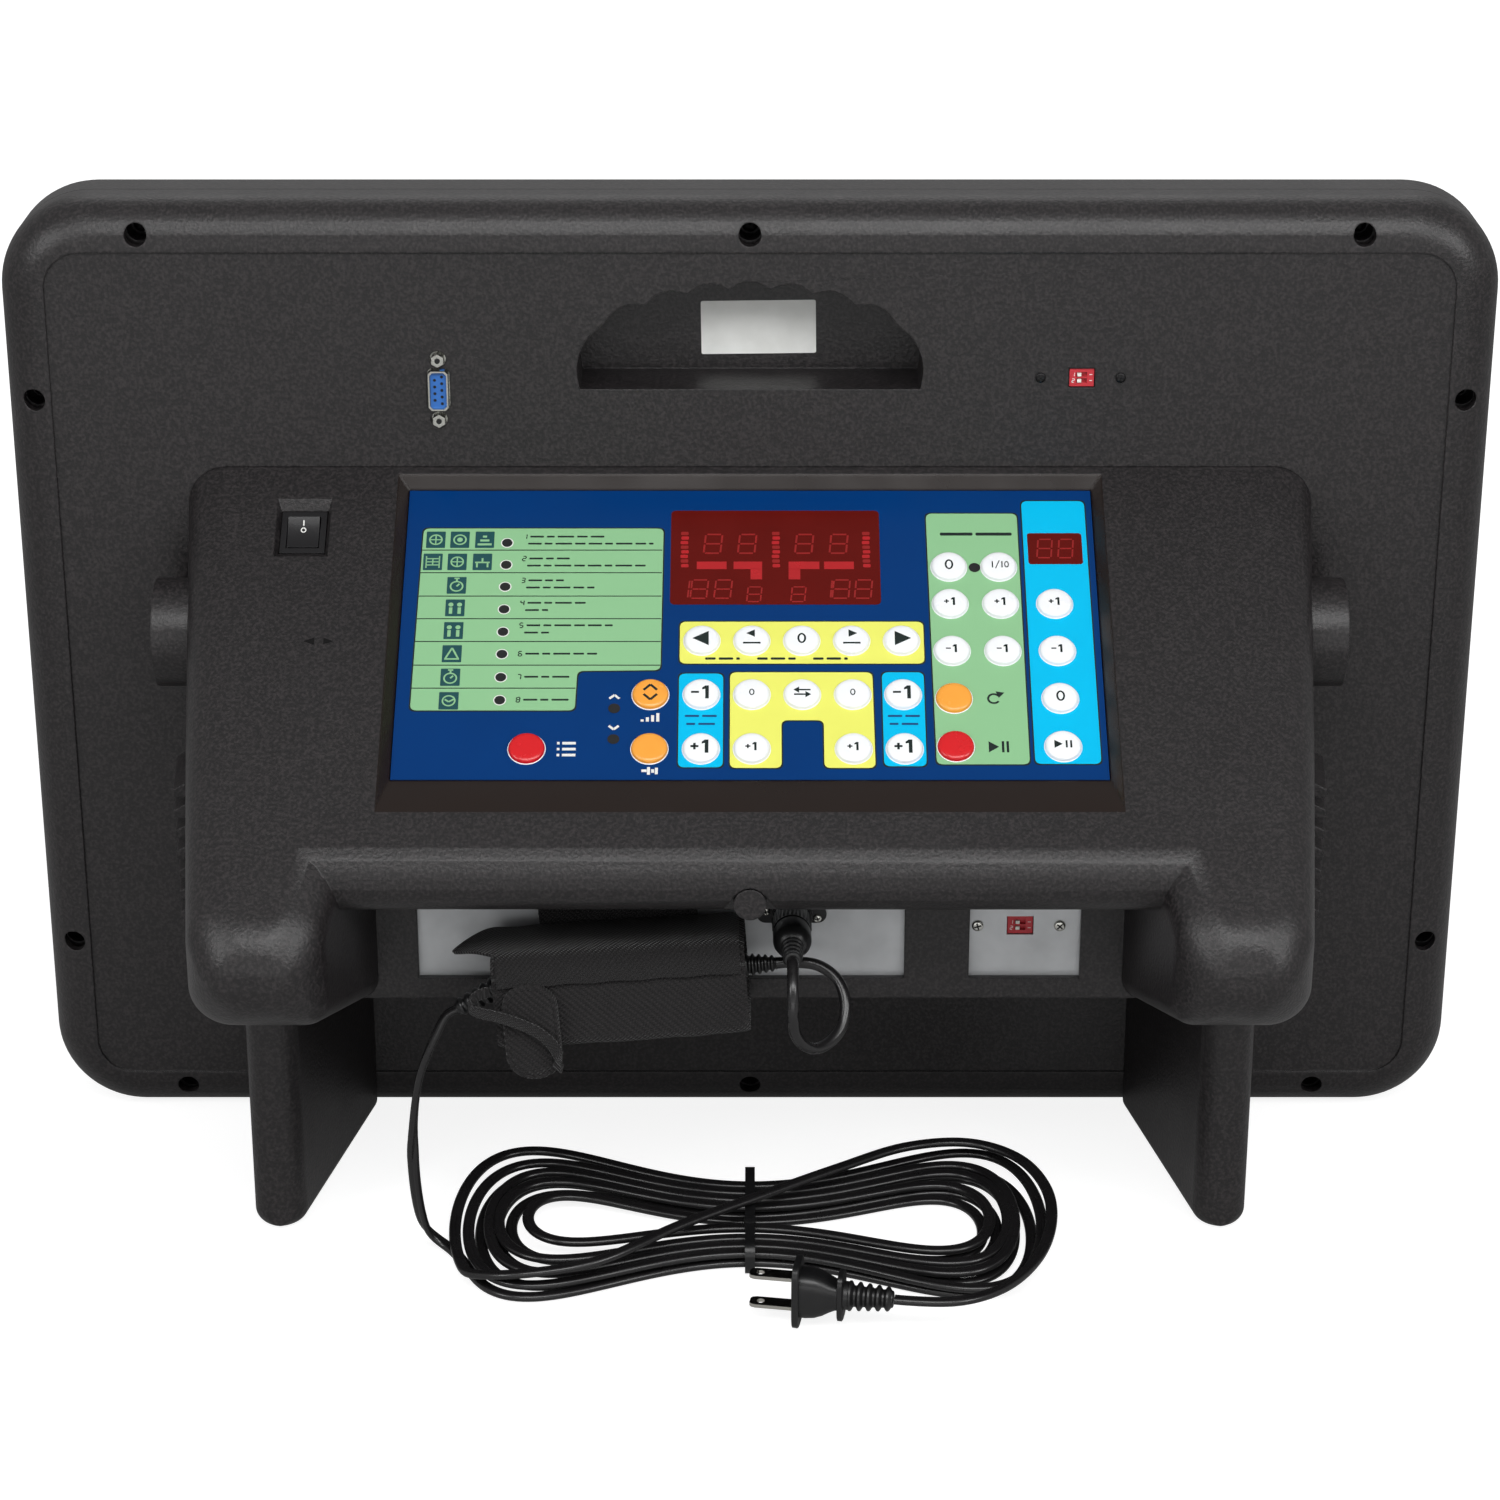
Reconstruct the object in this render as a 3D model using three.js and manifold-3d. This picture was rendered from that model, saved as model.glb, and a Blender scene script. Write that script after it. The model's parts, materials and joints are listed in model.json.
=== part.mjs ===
import * as THREE from 'three';
import { mergeVertices } from 'three/addons/utils/BufferGeometryUtils.js';
import Module from 'manifold-3d';

const wasm = await Module();
wasm.setup();

// Sizes in millimetres, angles in degrees. X runs to the operator's right, Z up.
// The display looks along +Y and the operator sits on the -Y side.
// A reach is a distance from the rear face of the case towards the operator.

// Fits shared by all pieces
const gap = 0.3;
const overrun = 2;
const wall = 3;

// Display case
const boardWidth = 598;
const boardHeight = 400;
const boardDepth = 46;
const bezelDepth = 22;
const coverDepth = boardDepth - bezelDepth;
const rimShare = 0.75;
const rimRadius = coverDepth * rimShare;
const rimStep = 1;
const rimPanelInset = 19.5;
const rimPanelRadius = 15;
const cornerRadius = 37;
const bezelEdgeRadius = 6;
const windowMargin = 27;
const windowRadius = 14;
const lensThickness = 2.5;
const lensBorder = 8;
const boardThickness = 1.6;
const moduleHeight = 5;

// Screw wells of the case
const wellDiameter = 9;
const wellInset = 12.5;
const wellWall = 2;
const wellFloor = 4;
const pilotDiameter = 3.6;
const topWellMargin = 57;
const topWellSpacing = boardWidth / 2 - topWellMargin;
const sideWellDrop = 80;
const sideWellHigh = boardHeight - sideWellDrop;
const sideWellLow = 81;

// Keypad recess in the deck
const recessTop = 4.4;
const recessDepth = 5;
const recessBevel = 4.2;
const recessLowerBevel = 18.2;
const recessLedge = 6;
const panelWidth = 273.8;
const panelLength = 143;
const panelThickness = 2;
const panelTop = recessTop + recessBevel + gap;
const recessEnd = recessTop + recessBevel + panelLength + 2 * gap + recessLowerBevel;

// Operator console
const headHeight = 107.6;
const consoleHeight = boardHeight - headHeight;
const deckSlope = 31.7;
const consoleMargin = 90.1;
const consoleHalfWidth = panelWidth / 2 + consoleMargin;
const wallReach = 110;
const sideDraft = 5.2;
const sideRound = 16;
const barMargin = 16;
const barLength = recessEnd + barMargin;
const barRadius = 15;
const armOvershoot = 31.4;
const armLength = barLength + armOvershoot;
const bulbRadius = 26;
const armWidthAtWall = 80.7;
const armInnerAtWall = consoleHalfWidth - armWidthAtWall;
const armSplay = 8.4;
const armRound = 16;
const armUnderRound = 9;
const flush = 0.1;
const rearWallHeight = 58.69;
const consoleBase = noseCentre(barLength, barRadius).height - barRadius - rearWallHeight;

// Hand grip pocket
const gripHeadroom = 17;
const gripDepth = boardDepth - gripHeadroom;
const gripWall = 2.5;
const gripClearance = 32.1;
const gripBottom = consoleHeight + gripClearance;
const gripHalfWidth = 68;
const gripArchHalfWidth = 75;
const gripSill = 2.5;
const gripTopMargin = 34.5;
const gripArchRise = headHeight - gripClearance - gripSill - gripTopMargin;
const gripArchBase = gripBottom + gripSill;
const scallopPitch = 16.6;
const scallopCount = 7;
const scallopRise = 3.3;
const gripEndBulge = 5;

// Bosses, louvres and bar boss of the console
const bossDiameter = 43.4;
const bossReach = 35;
const bossDrop = 58.2;
const bossHeight = consoleHeight - bossDrop;
const bossStandout = 12.8;
const louvreCount = 7;
const louvrePitch = 8.7;
const louvreRise = 29.3;
const louvreLowest = consoleBase + louvreRise;
const louvreReach = 95;
const louvreLength = 34;
const louvreStandout = 6.5;
const louvreLip = 3.4;
const barNotchHalfWidth = 12;
const barNotchRise = 14;
const barPadShare = 0.6;
const barBossDiameter = 12.4;

// Keys
const keyDiameter = 13.4;
const keyRise = 2.1;
const keySkirt = 1.5;
const keyTravel = 0.6;
const keyShoulder = 0.7;
const keyCrownShare = 0.72;
const switchDiameter = 6;
const firstColumnShare = -0.06866;
const columnPitchShare = 0.07122;
const clockColumnShare = 0.2878;
const clockPitchShare = 0.0723;
const shotColumnShare = 0.4379;
const optionColumnShare = -0.1406;
const modeColumnShare = -0.3123;
const firstColumn = panelWidth * firstColumnShare;
const columnPitch = panelWidth * columnPitchShare;
const clockColumn = panelWidth * clockColumnShare;
const clockColumnPitch = panelWidth * clockPitchShare;
const shotColumn = panelWidth * shotColumnShare;
const optionColumn = panelWidth * optionColumnShare;
const modeColumn = panelWidth * modeColumnShare;
const rowAt = (share) => panelTop + panelLength * share;
const setRow = rowAt(0.535);
const minusRow = rowAt(0.7189);
const plusRow = rowAt(0.9);
const clockTopRow = rowAt(0.277);
const clockSecondRow = rowAt(0.407);
const clockThirdRow = rowAt(0.57);
const clockFourthRow = rowAt(0.7315);
const clockLastRow = rowAt(0.8925);

// Readouts under the keypad
const mainReadoutWidth = 83;
const mainReadoutLength = 47.8;
const mainReadoutColumn = 9.2;
const mainReadoutRow = rowAt(0.2406);
const shotReadoutWidth = 21.6;
const shotReadoutLength = 15.8;
const shotReadoutRow = rowAt(0.2105);
const readoutHeight = 2.6;

// Power rocker
const rockerMargin = 49;
const rockerColumn = rockerMargin - consoleHalfWidth;
const rockerRow = 32.2;
const rockerRecessWidth = 21.6;
const rockerRecessLength = 29.2;
const rockerRecessDepth = 3;
const rockerFlangeWidth = 18;
const rockerFlangeLength = 21.2;
const rockerFlangeThickness = 2;
const rockerBodyWall = 1.2;
const rockerBodyDepth = 14;
const rockerKeyWidth = 12.6;
const rockerKeyLength = 14.2;
const rockerKeyHeight = 6;
const rockerKeyDish = 0.9;
const rockerPivotDepth = 1.4;
const rockerSwing = 18;
const rockerEndGap = 0.9;

// Service windows in the rear wall of the console
const windowSill = 8.5;
const windowHeadroom = 3.69;
const windowBottom = consoleBase + windowSill;
const windowTop = consoleBase + rearWallHeight - windowHeadroom;
const windowMarginLeft = 16;
const windowMarginRight = 16.7;
const dipWindowWidth = 43.6;
const windowBar = 25.4;
const socketWindowLeft = windowMarginLeft - armInnerAtWall;
const dipWindowRight = armInnerAtWall - windowMarginRight;
const dipWindowLeft = dipWindowRight - dipWindowWidth;
const socketWindowRight = dipWindowLeft - windowBar;
const socketWindowAt = (share) => socketWindowLeft + (socketWindowRight - socketWindowLeft) * share;
const plateThickness = 1.5;
const plateBorder = 4.5;

// Coding switches
const dipWidth = 9.9;
const dipHeight = 7.3;
const dipDepth = 5;
const leverWidth = 1.6;
const leverHeight = 1.3;
const leverProud = 0.5;
const leverDepth = 1.3;
const leverPitch = 2.54;
const leverTravel = 2;
const upperDipColumn = 132.5;
const upperDipClearance = 36.8;
const upperDipHeight = consoleHeight + upperDipClearance;
const lowerDipInset = 20;
const lowerDipColumn = dipWindowLeft + lowerDipInset;
const lowerDipRise = 21.5;
const lowerDipHeight = windowBottom + lowerDipRise;
const dipSink = 0.6;

// Data port
const portColumn = -124.5;
const portClearance = 32;
const portHeight = consoleHeight + portClearance;
const portShellLength = 16.3;
const portShellWidth = 7.9;
const portShellRound = 2.4;
const portFlangeLength = 30.8;
const portFlangeWidth = 12.5;
const portFlangeThickness = 1;
const portStandout = 2.6;
const portSocketDepth = 4.6;
const portShellWall = 0.6;
const jackSpacing = 24.99;
const jackDiameter = 5.4;
const nutSideCount = 6;

// Power socket and its plug
const socketColumn = socketWindowAt(0.768);
const socketRise = 26.9;
const socketHeight = windowBottom + socketRise;
const socketBarrelDiameter = 14;
const socketBarrelDepth = 12;
const socketEarSpacing = 20.2;
const socketEarRadius = 3.6;
const socketFlangeThickness = 1.2;
const socketCollarDiameter = 16.4;
const socketCollarLength = 2.6;
const dcPlugDiameter = 15.4;
const dcPlugLength = 30;
const dcPlugNeck = 10.5;
const dcPlugNeckLength = 9;
const dcBootTip = 6.2;

// Power adapter and its pouch
const adapterShare = 0.4505;
const adapterLength = (socketWindowRight - socketWindowLeft) * adapterShare;
const adapterDepth = 31;
const adapterHeight = 27;
const adapterRound = 4;
const pouchOverhang = 5.5;
const pouchLength = adapterLength + 2 * pouchOverhang;
const pouchCloth = 1.8;
const pouchCentre = socketWindowAt(0.4206);
const pouchRise = 11;
const pouchCentreHeight = windowBottom + pouchRise;
const pouchTilt = 4.1;
const pouchRound = 6;
const hangerWidth = 62;
const hangerThickness = 2.4;
const tailWidth = 22;
const tailDrop = 17;
const tailThickness = 3;
const reliefLength = 24;
const reliefBase = 10;
const mainsReliefTip = 6.4;
const mainsReliefDroop = 26;
const dcReliefLength = 17;
const dcReliefTip = 6;

// Cords
const mainsDiameter = 4.8;
const dcDiameter = 4.5;
const cordSideCount = 8;

// Hank of the mains cord
const hankReach = 107;
const hankLoopCount = 8;
const hankLayerCount = 2;
const loopStepCount = 24;
const hankSideCount = 6;
const hankHalfLength = 91;
const hankWaist = 3.2;
const hankLobe = 45;
const hankPitch = 6.2;
const hankWaistPitch = 6;
const hankLobePitch = 13;
const hankLayerPitch = 5.6;
const hankFloorGap = 0.4;
const tieWidth = 4;
const tieThickness = 1.2;

// Mains plug
const plugX = 29;
const plugReach = 177.5;
const plugTurn = 9.5;
const plugBodyLength = 18;
const plugBodyWidth = 14;
const plugBodyHeight = 20;
const plugFaceHeight = 27;
const plugFaceWidth = 17;
const plugFaceThickness = 3;
const plugReliefLength = 18;
const plugReliefBase = 10;
const plugReliefTip = 7;
const bladeLength = 17.5;
const bladeSpacing = 12.7;
const bladeHeight = 6.3;
const bladeThickness = 1.5;

// Legs
const legMarginAtBoard = 17;
const legMarginAtRear = 26;
const legWidthAtBoard = 49.5;
const legWidthAtRear = 19;
const legSetback = 6;
const legOuterAtBoard = consoleHalfWidth - legMarginAtBoard;
const legOuterAtRear = consoleHalfWidth - legMarginAtRear;
const legInnerAtBoard = legOuterAtBoard - legWidthAtBoard;
const legInnerAtRear = legOuterAtRear - legWidthAtRear;
const legReach = wallReach - legSetback;
const legFootRound = 7;
const legEdgeRound = 8;

// Horn behind the side louvres
const hornDiameter = 56;
const hornDepth = 24;
const hornMagnetDiameter = 30;
const hornMagnetDepth = 12;
const hornRise = 25.7;
const hornHeight = louvreLowest + hornRise;

// Mesh steps
const archStepCount = 5;
const edgeStepCount = 3;
const consoleStepCount = 5;
const noseStepCount = 7;
const noseSweepAngle = 84;
const roundStepCount = 16;
const wellStepCount = 12;
const keyStepCount = 10;

const rad = THREE.MathUtils.degToRad;
const slope = rad(deckSlope);
const caseShift = reachEnd() / 2 - boardDepth / 2;

// Materials
const coated = (color, roughness, metalness) => (
  new THREE.MeshStandardMaterial({ color, roughness, metalness })
);
const plastic = (color, roughness = 0.6) => coated(color, roughness, 0);
const metal = (color, roughness = 0.35) => coated(color, roughness, 1);
const housingBlack = plastic(0x232224, 0.62);
const lensSmoke = plastic(0x120a0b, 0.15);
const boardGreen = plastic(0x1d4a2c, 0.5);
const keyWhite = plastic(0xf1f3f4, 0.35);
const keyOrange = plastic(0xf2a12a, 0.35);
const keyRed = plastic(0xc4161c, 0.35);
const overlayBlue = plastic(0x123f86, 0.3);
const switchBlack = plastic(0x131314, 0.4);
const zincPlate = metal(0x8f9296);
const chromedSteel = metal(0xc9ccd0, 0.2);
const dipRed = plastic(0xb3202a, 0.45);
const leverWhite = plastic(0xf4f1e8, 0.45);
const nylonBlack = plastic(0x19181a, 0.9);
const cordBlack = plastic(0x111112, 0.45);

// Turns a closed geometry into a solid for cutting and joining
function solid(geometry) {
  const bare = geometry.clone();
  bare.deleteAttribute('normal');
  bare.deleteAttribute('uv');
  const merged = mergeVertices(outward(bare));
  return new wasm.Manifold(new wasm.Mesh({
    numProp: 3,
    vertProperties: Float32Array.from(merged.attributes.position.array),
    triVerts: Uint32Array.from(merged.index.array),
  }));
}

// Turns a solid back into a geometry
function surface(body) {
  const mesh = body.getMesh();
  const geometry = new THREE.BufferGeometry();
  const points = Float32Array.from(mesh.vertProperties);
  geometry.setAttribute('position', new THREE.BufferAttribute(points, mesh.numProp));
  geometry.setIndex(new THREE.BufferAttribute(Uint32Array.from(mesh.triVerts), 1));
  geometry.computeVertexNormals();
  return geometry;
}

// Turns every face of a closed geometry outwards
function outward(geometry) {
  const indexed = geometry.index ? geometry : mergeVertices(geometry);
  const place = indexed.attributes.position;
  const index = indexed.index.array;
  const [a, b, c] = [new THREE.Vector3(), new THREE.Vector3(), new THREE.Vector3()];
  let volume = 0;
  for (let i = 0; i < index.length; i += 3) {
    a.fromBufferAttribute(place, index[i]);
    b.fromBufferAttribute(place, index[i + 1]);
    c.fromBufferAttribute(place, index[i + 2]);
    volume += a.dot(b.cross(c));
  }
  if (volume < 0) {
    for (let i = 0; i < index.length; i += 3) {
      [index[i + 1], index[i + 2]] = [index[i + 2], index[i + 1]];
    }
  }
  return indexed;
}

// Joins solids
const join = (...bodies) => bodies.reduce((whole, next) => whole.add(next));

// Largest piece of a cut form, without the slivers between facets
function largest(body) {
  return body.decompose().reduce((best, next) => (next.volume() > best.volume() ? next : best));
}

// Box with its centre at a place
function block(width, depth, height, x, y, z) {
  return solid(new THREE.BoxGeometry(width, depth, height).translate(x, y, z));
}

// Flat outline with rounded corners
function roundedOutline(width, height, radius, x = 0, y = 0) {
  const [left, right] = [x - width / 2, x + width / 2];
  const [low, high] = [y - height / 2, y + height / 2];
  const outline = new THREE.Shape();
  outline.absarc(right - radius, high - radius, radius, 0, Math.PI / 2);
  outline.absarc(left + radius, high - radius, radius, Math.PI / 2, Math.PI);
  outline.absarc(left + radius, low + radius, radius, Math.PI, Math.PI * 1.5);
  outline.absarc(right - radius, low + radius, radius, Math.PI * 1.5, Math.PI * 2);
  outline.closePath();
  return outline;
}

// Extrudes an outline drawn in X and Z from one Y to another
function extrudeY(outline, near, far, curveSegments = archStepCount) {
  const options = { depth: far - near, bevelEnabled: false, curveSegments };
  return new THREE.ExtrudeGeometry(outline, options).rotateX(Math.PI / 2).translate(0, far, 0);
}

// Extrudes an outline drawn in Y and Z from one X to another
function extrudeX(outline, near, far, curveSegments = archStepCount) {
  const options = { depth: far - near, bevelEnabled: false, curveSegments };
  const turn = new THREE.Matrix4().makeBasis(
    new THREE.Vector3(0, 1, 0),
    new THREE.Vector3(0, 0, 1),
    new THREE.Vector3(1, 0, 0),
  );
  return new THREE.ExtrudeGeometry(outline, options).applyMatrix4(turn).translate(near, 0, 0);
}

// Extrudes an outline drawn in X and Y upwards
function extrudeZ(outline, low, high, curveSegments = archStepCount) {
  const options = { depth: high - low, bevelEnabled: false, curveSegments };
  return new THREE.ExtrudeGeometry(outline, options).translate(0, 0, low);
}

// Cylinder along Y between two reaches behind the case face, or two Y values
function rodY(diameter, near, far, x, z, steps = wellStepCount) {
  const rod = new THREE.CylinderGeometry(diameter / 2, diameter / 2, far - near, steps);
  return solid(rod.translate(x, (near + far) / 2, z));
}

// Joins rings of equal count into a closed skin with flat ends
function loft(rings) {
  const count = rings[0].length;
  const geometry = new THREE.BufferGeometry();
  const points = rings.flat().flatMap((p) => [p.x, p.y, p.z]);
  const index = [];
  for (let i = 0; i < rings.length - 1; i += 1) {
    for (let j = 0; j < count; j += 1) {
      const [a, b] = [i * count + j, i * count + ((j + 1) % count)];
      index.push(a, b, b + count, a, b + count, a + count);
    }
  }
  const last = (rings.length - 1) * count;
  for (let j = 1; j < count - 1; j += 1) {
    index.push(0, j + 1, j, last, last + j, last + j + 1);
  }
  geometry.setAttribute('position', new THREE.Float32BufferAttribute(points, 3));
  geometry.setIndex(index);
  return outward(geometry);
}

// Joins two outlines of equal count that may be hollow at a corner
function extrudeBetween(near, far) {
  const count = near.length;
  const flat = near.map((p) => new THREE.Vector2(p.y, p.z));
  const faces = THREE.ShapeUtils.triangulateShape(flat, []);
  const index = [];
  for (let j = 0; j < count; j += 1) {
    const next = (j + 1) % count;
    index.push(j, next, next + count, j, next + count, j + count);
  }
  const turn = THREE.ShapeUtils.isClockWise(flat) ? 1 : -1;
  for (const [a, b, c] of faces) {
    const [b1, c1] = turn > 0 ? [b, c] : [c, b];
    index.push(a, b1, c1, a + count, c1 + count, b1 + count);
  }
  const geometry = new THREE.BufferGeometry();
  const points = [...near, ...far].flatMap((p) => [p.x, p.y, p.z]);
  geometry.setAttribute('position', new THREE.Float32BufferAttribute(points, 3));
  geometry.setIndex(index);
  return outward(geometry);
}

// Ring in a plane of constant Y with four rounded corners
function ringAt(y, left, right, low, high, radius, steps, lowRadius = radius) {
  const limit = Math.min((right - left) / 2, (high - low) / 2) * 0.98;
  const [top, under] = [Math.min(radius, limit), Math.min(lowRadius, limit)];
  const corners = [
    [right - top, high - top, top],
    [left + top, high - top, top],
    [left + under, low + under, under],
    [right - under, low + under, under],
  ];
  return corners.flatMap(([x, z, bend], quarter) => {
    const points = [];
    for (let i = 0; i <= steps; i += 1) {
      const angle = (Math.PI / 2) * (quarter + i / steps);
      points.push(new THREE.Vector3(x + bend * Math.cos(angle), y, z + bend * Math.sin(angle)));
    }
    return points;
  });
}

// Ring of the case outline drawn in by an inset
function caseRing(y, inset, steps = archStepCount) {
  const half = boardWidth / 2 - inset;
  return ringAt(y, -half, half, inset, boardHeight - inset, cornerRadius - inset, steps);
}

const model = new THREE.Group();
const unit = new THREE.Group();
unit.position.y = caseShift;
model.add(unit);
const deck = new THREE.Group();
deck.position.z = consoleHeight;
deck.rotation.x = slope;
unit.add(deck);

// Adds one named piece
function addPart(name, geometry, material, parent = unit) {
  const mesh = new THREE.Mesh(geometry, material);
  mesh.name = name;
  parent.add(mesh);
  return mesh;
}

// Places on the deck are given as a column, a row down the slope and a height
const deckFrame = new THREE.Matrix4().makeRotationX(slope).setPosition(0, 0, consoleHeight);
const onDeck = (body) => solid(surface(body).applyMatrix4(deckFrame));
const deckBlock = (width, length, thickness, column, row, top) => (
  block(width, length, thickness, column, -row, top - thickness / 2)
);

// Farthest point of the arms from the case
function reachEnd() {
  return armLength * Math.cos(rad(deckSlope)) - bulbRadius * Math.sin(rad(deckSlope)) + bulbRadius;
}

// Screw wells, each a column and a height
const wells = [
  [-topWellSpacing, boardHeight - wellInset],
  [0, boardHeight - wellInset],
  [topWellSpacing, boardHeight - wellInset],
  [-topWellSpacing, wellInset],
  [0, wellInset],
  [topWellSpacing, wellInset],
  [wellInset - boardWidth / 2, sideWellHigh],
  [boardWidth / 2 - wellInset, sideWellHigh],
  [wellInset - boardWidth / 2, sideWellLow],
  [boardWidth / 2 - wellInset, sideWellLow],
];

// Outline of the hand grip with its scalloped arch, grown by a margin
function gripOutline(grow) {
  const arch = (x) => {
    const share = x / (gripArchHalfWidth + grow);
    return gripArchBase + (gripArchRise + grow) * Math.sqrt(1 - share * share);
  };
  const low = gripBottom - grow;
  const side = gripHalfWidth + grow;
  const cusps = [];
  for (let i = 0; i <= scallopCount; i += 1) {
    const x = (i - scallopCount / 2) * scallopPitch * (1 + grow / gripHalfWidth);
    cusps.push([x, arch(x), scallopRise]);
  }
  cusps.unshift([-side, low, gripEndBulge]);
  cusps.push([side, low, 0]);
  const last = cusps.length - 2;
  cusps[last][2] = gripEndBulge;
  const outline = new THREE.Shape();
  outline.moveTo(-side, low);
  for (let i = 0; i <= last; i += 1) {
    const [x0, z0, rise] = cusps[i];
    const [x1, z1] = cusps[i + 1];
    const span = Math.hypot(x1 - x0, z1 - z0);
    const lift = (2 * rise) / span;
    const [midX, midZ] = [(x0 + x1) / 2 - (z1 - z0) * lift, (z0 + z1) / 2 + (x1 - x0) * lift];
    outline.quadraticCurveTo(midX, midZ, x1, z1);
  }
  outline.closePath();
  return outline;
}

// Rear cover: rounded shell with the grip pocket, screw wells and port openings
function makeRearCover() {
  const rim = (inset, proud) => {
    const radius = rimRadius - inset;
    const rings = [];
    for (let i = 0; i < archStepCount; i += 1) {
      const angle = (Math.PI / 2) * (i / archStepCount);
      const y = inset - proud + radius * (1 - Math.cos(angle));
      rings.push(caseRing(y, inset + radius * (1 - Math.sin(angle))));
    }
    rings.push(caseRing(rimRadius - proud, inset));
    return rings;
  };
  const recessedPanel = roundedOutline(
    boardWidth - 2 * rimPanelInset,
    boardHeight - 2 * rimPanelInset,
    rimPanelRadius,
    0,
    boardHeight / 2,
  );
  const raised = solid(loft([...rim(0, rimStep), caseRing(coverDepth, 0)]));
  const outer = raised.subtract(solid(extrudeY(recessedPanel, -overrun, 0)));
  const hollow = solid(loft([...rim(wall, 0), caseRing(coverDepth + overrun, wall)]));
  let cover = outer.subtract(hollow);
  const posts = wells.map(([x, z]) => rodY(wellDiameter + 2 * wellWall, rimRadius / 2, coverDepth, x, z));
  cover = join(cover, ...posts.map((post) => post.intersect(outer)));
  cover = cover.add(solid(extrudeY(gripOutline(gripWall), wall / 2, gripDepth + gripWall)));
  cover = cover.subtract(solid(extrudeY(gripOutline(0), -overrun, gripDepth)));
  for (const [x, z] of wells) {
    cover = cover.subtract(rodY(wellDiameter, -overrun, coverDepth - wellFloor, x, z));
    cover = cover.subtract(rodY(pilotDiameter, -overrun, coverDepth + overrun, x, z, cordSideCount));
  }
  const throughWall = (outline) => solid(extrudeY(outline, -overrun, wall + overrun));
  const portWidth = portShellWidth + 4 * gap;
  const portLength = portShellLength + 4 * gap;
  cover = cover.subtract(throughWall(
    roundedOutline(portWidth, portLength, portShellRound, portColumn, portHeight),
  ));
  for (const side of [-1, 1]) {
    const height = portHeight + (side * jackSpacing) / 2;
    cover = cover.subtract(rodY(jackDiameter + 4 * gap, -overrun, wall + overrun, portColumn, height));
  }
  const [openWidth, openHeight] = [dipWidth + 2 * gap, dipHeight + 2 * gap];
  const dipOpening = roundedOutline(openWidth, openHeight, gap, upperDipColumn, upperDipHeight);
  return cover.subtract(throughWall(dipOpening));
}

// Front bezel: frame round the display window, with the posts that the screws enter
function makeFrontBezel() {
  const back = coverDepth + gap;
  const shape = (inset, end) => {
    const rings = [caseRing(back - (inset ? overrun : 0), inset)];
    const radius = Math.max(bezelEdgeRadius - inset, gap);
    for (let i = 0; i <= edgeStepCount; i += 1) {
      const angle = (Math.PI / 2) * (i / edgeStepCount);
      rings.push(caseRing(end - radius * (1 - Math.sin(angle)), inset + radius * (1 - Math.cos(angle))));
    }
    return solid(loft(rings));
  };
  const outer = shape(0, boardDepth);
  let bezel = outer.subtract(shape(wall, boardDepth - wall));
  for (const [x, z] of wells) {
    const post = rodY(wellDiameter + 2 * wellWall, back, boardDepth - wall / 2, x, z);
    bezel = bezel.add(post.intersect(outer));
    bezel = bezel.subtract(rodY(pilotDiameter, back - overrun, boardDepth - 2 * wall, x, z, cordSideCount));
  }
  const window = roundedOutline(
    boardWidth - 2 * windowMargin,
    boardHeight - 2 * windowMargin,
    windowRadius,
    0,
    boardHeight / 2,
  );
  return bezel.subtract(solid(extrudeY(window, back - overrun, boardDepth + overrun)));
}

const lensFront = boardDepth - wall - gap;
const lensBack = lensFront - lensThickness;
const lensWidth = boardWidth - 2 * (windowMargin - lensBorder);
const lensHeight = boardHeight - 2 * (windowMargin - lensBorder);

// Lens: smoked sheet behind the bezel frame
function makeLens() {
  return extrudeY(
    roundedOutline(lensWidth, lensHeight, windowRadius, 0, boardHeight / 2),
    lensBack,
    lensFront,
  );
}

// Digit blocks of the display: column, height, width and height as shares of the lens
const clockDigitShares = [-0.3, -0.135, 0.135, 0.3];
const scoreDigitShares = [-0.4, -0.29, -0.18, 0.18, 0.29, 0.4];
const setDigitShares = [-0.06, 0.06];
const digitShares = [
  ...clockDigitShares.map((x) => [x, 0.2, 0.14, 0.36]),
  ...scoreDigitShares.map((x) => [x, -0.24, 0.095, 0.32]),
  ...setDigitShares.map((x) => [x, -0.27, 0.07, 0.2]),
  [0, 0.2, 0.03, 0.2],
];

// Display board: circuit board with its lamp blocks standing just behind the lens
function makeDisplayBoard() {
  const face = lensBack - gap;
  const boardFront = face - moduleHeight;
  let board = solid(extrudeY(
    roundedOutline(lensWidth, lensHeight, windowRadius, 0, boardHeight / 2),
    boardFront - boardThickness,
    boardFront,
  ));
  for (const [x, z, width, height] of digitShares) {
    board = board.add(block(
      lensWidth * width,
      moduleHeight + boardThickness / 2,
      lensHeight * height,
      lensWidth * x,
      face - (moduleHeight + boardThickness / 2) / 2,
      boardHeight / 2 + lensHeight * z,
    ));
  }
  return board;
}

// Height of the deck surface at a reach, lowered by an inset
const deckHeight = (reach, inset = 0) => consoleHeight - reach * Math.tan(slope) - inset / Math.cos(slope);

// Centre of a nose that rounds the deck off at a distance down the slope
function noseCentre(length, radius) {
  const tilt = THREE.MathUtils.degToRad(deckSlope);
  return {
    reach: length * Math.cos(tilt) - radius * Math.sin(tilt),
    height: consoleHeight - length * Math.sin(tilt) - radius * Math.cos(tilt),
  };
}

const sideAt = (reach, inset = 0) => consoleHalfWidth - reach * Math.tan(rad(sideDraft)) - inset;
const armInnerAt = (reach, inset = 0) => (
  armInnerAtWall + (reach - wallReach) * Math.tan(rad(armSplay)) + inset
);

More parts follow.
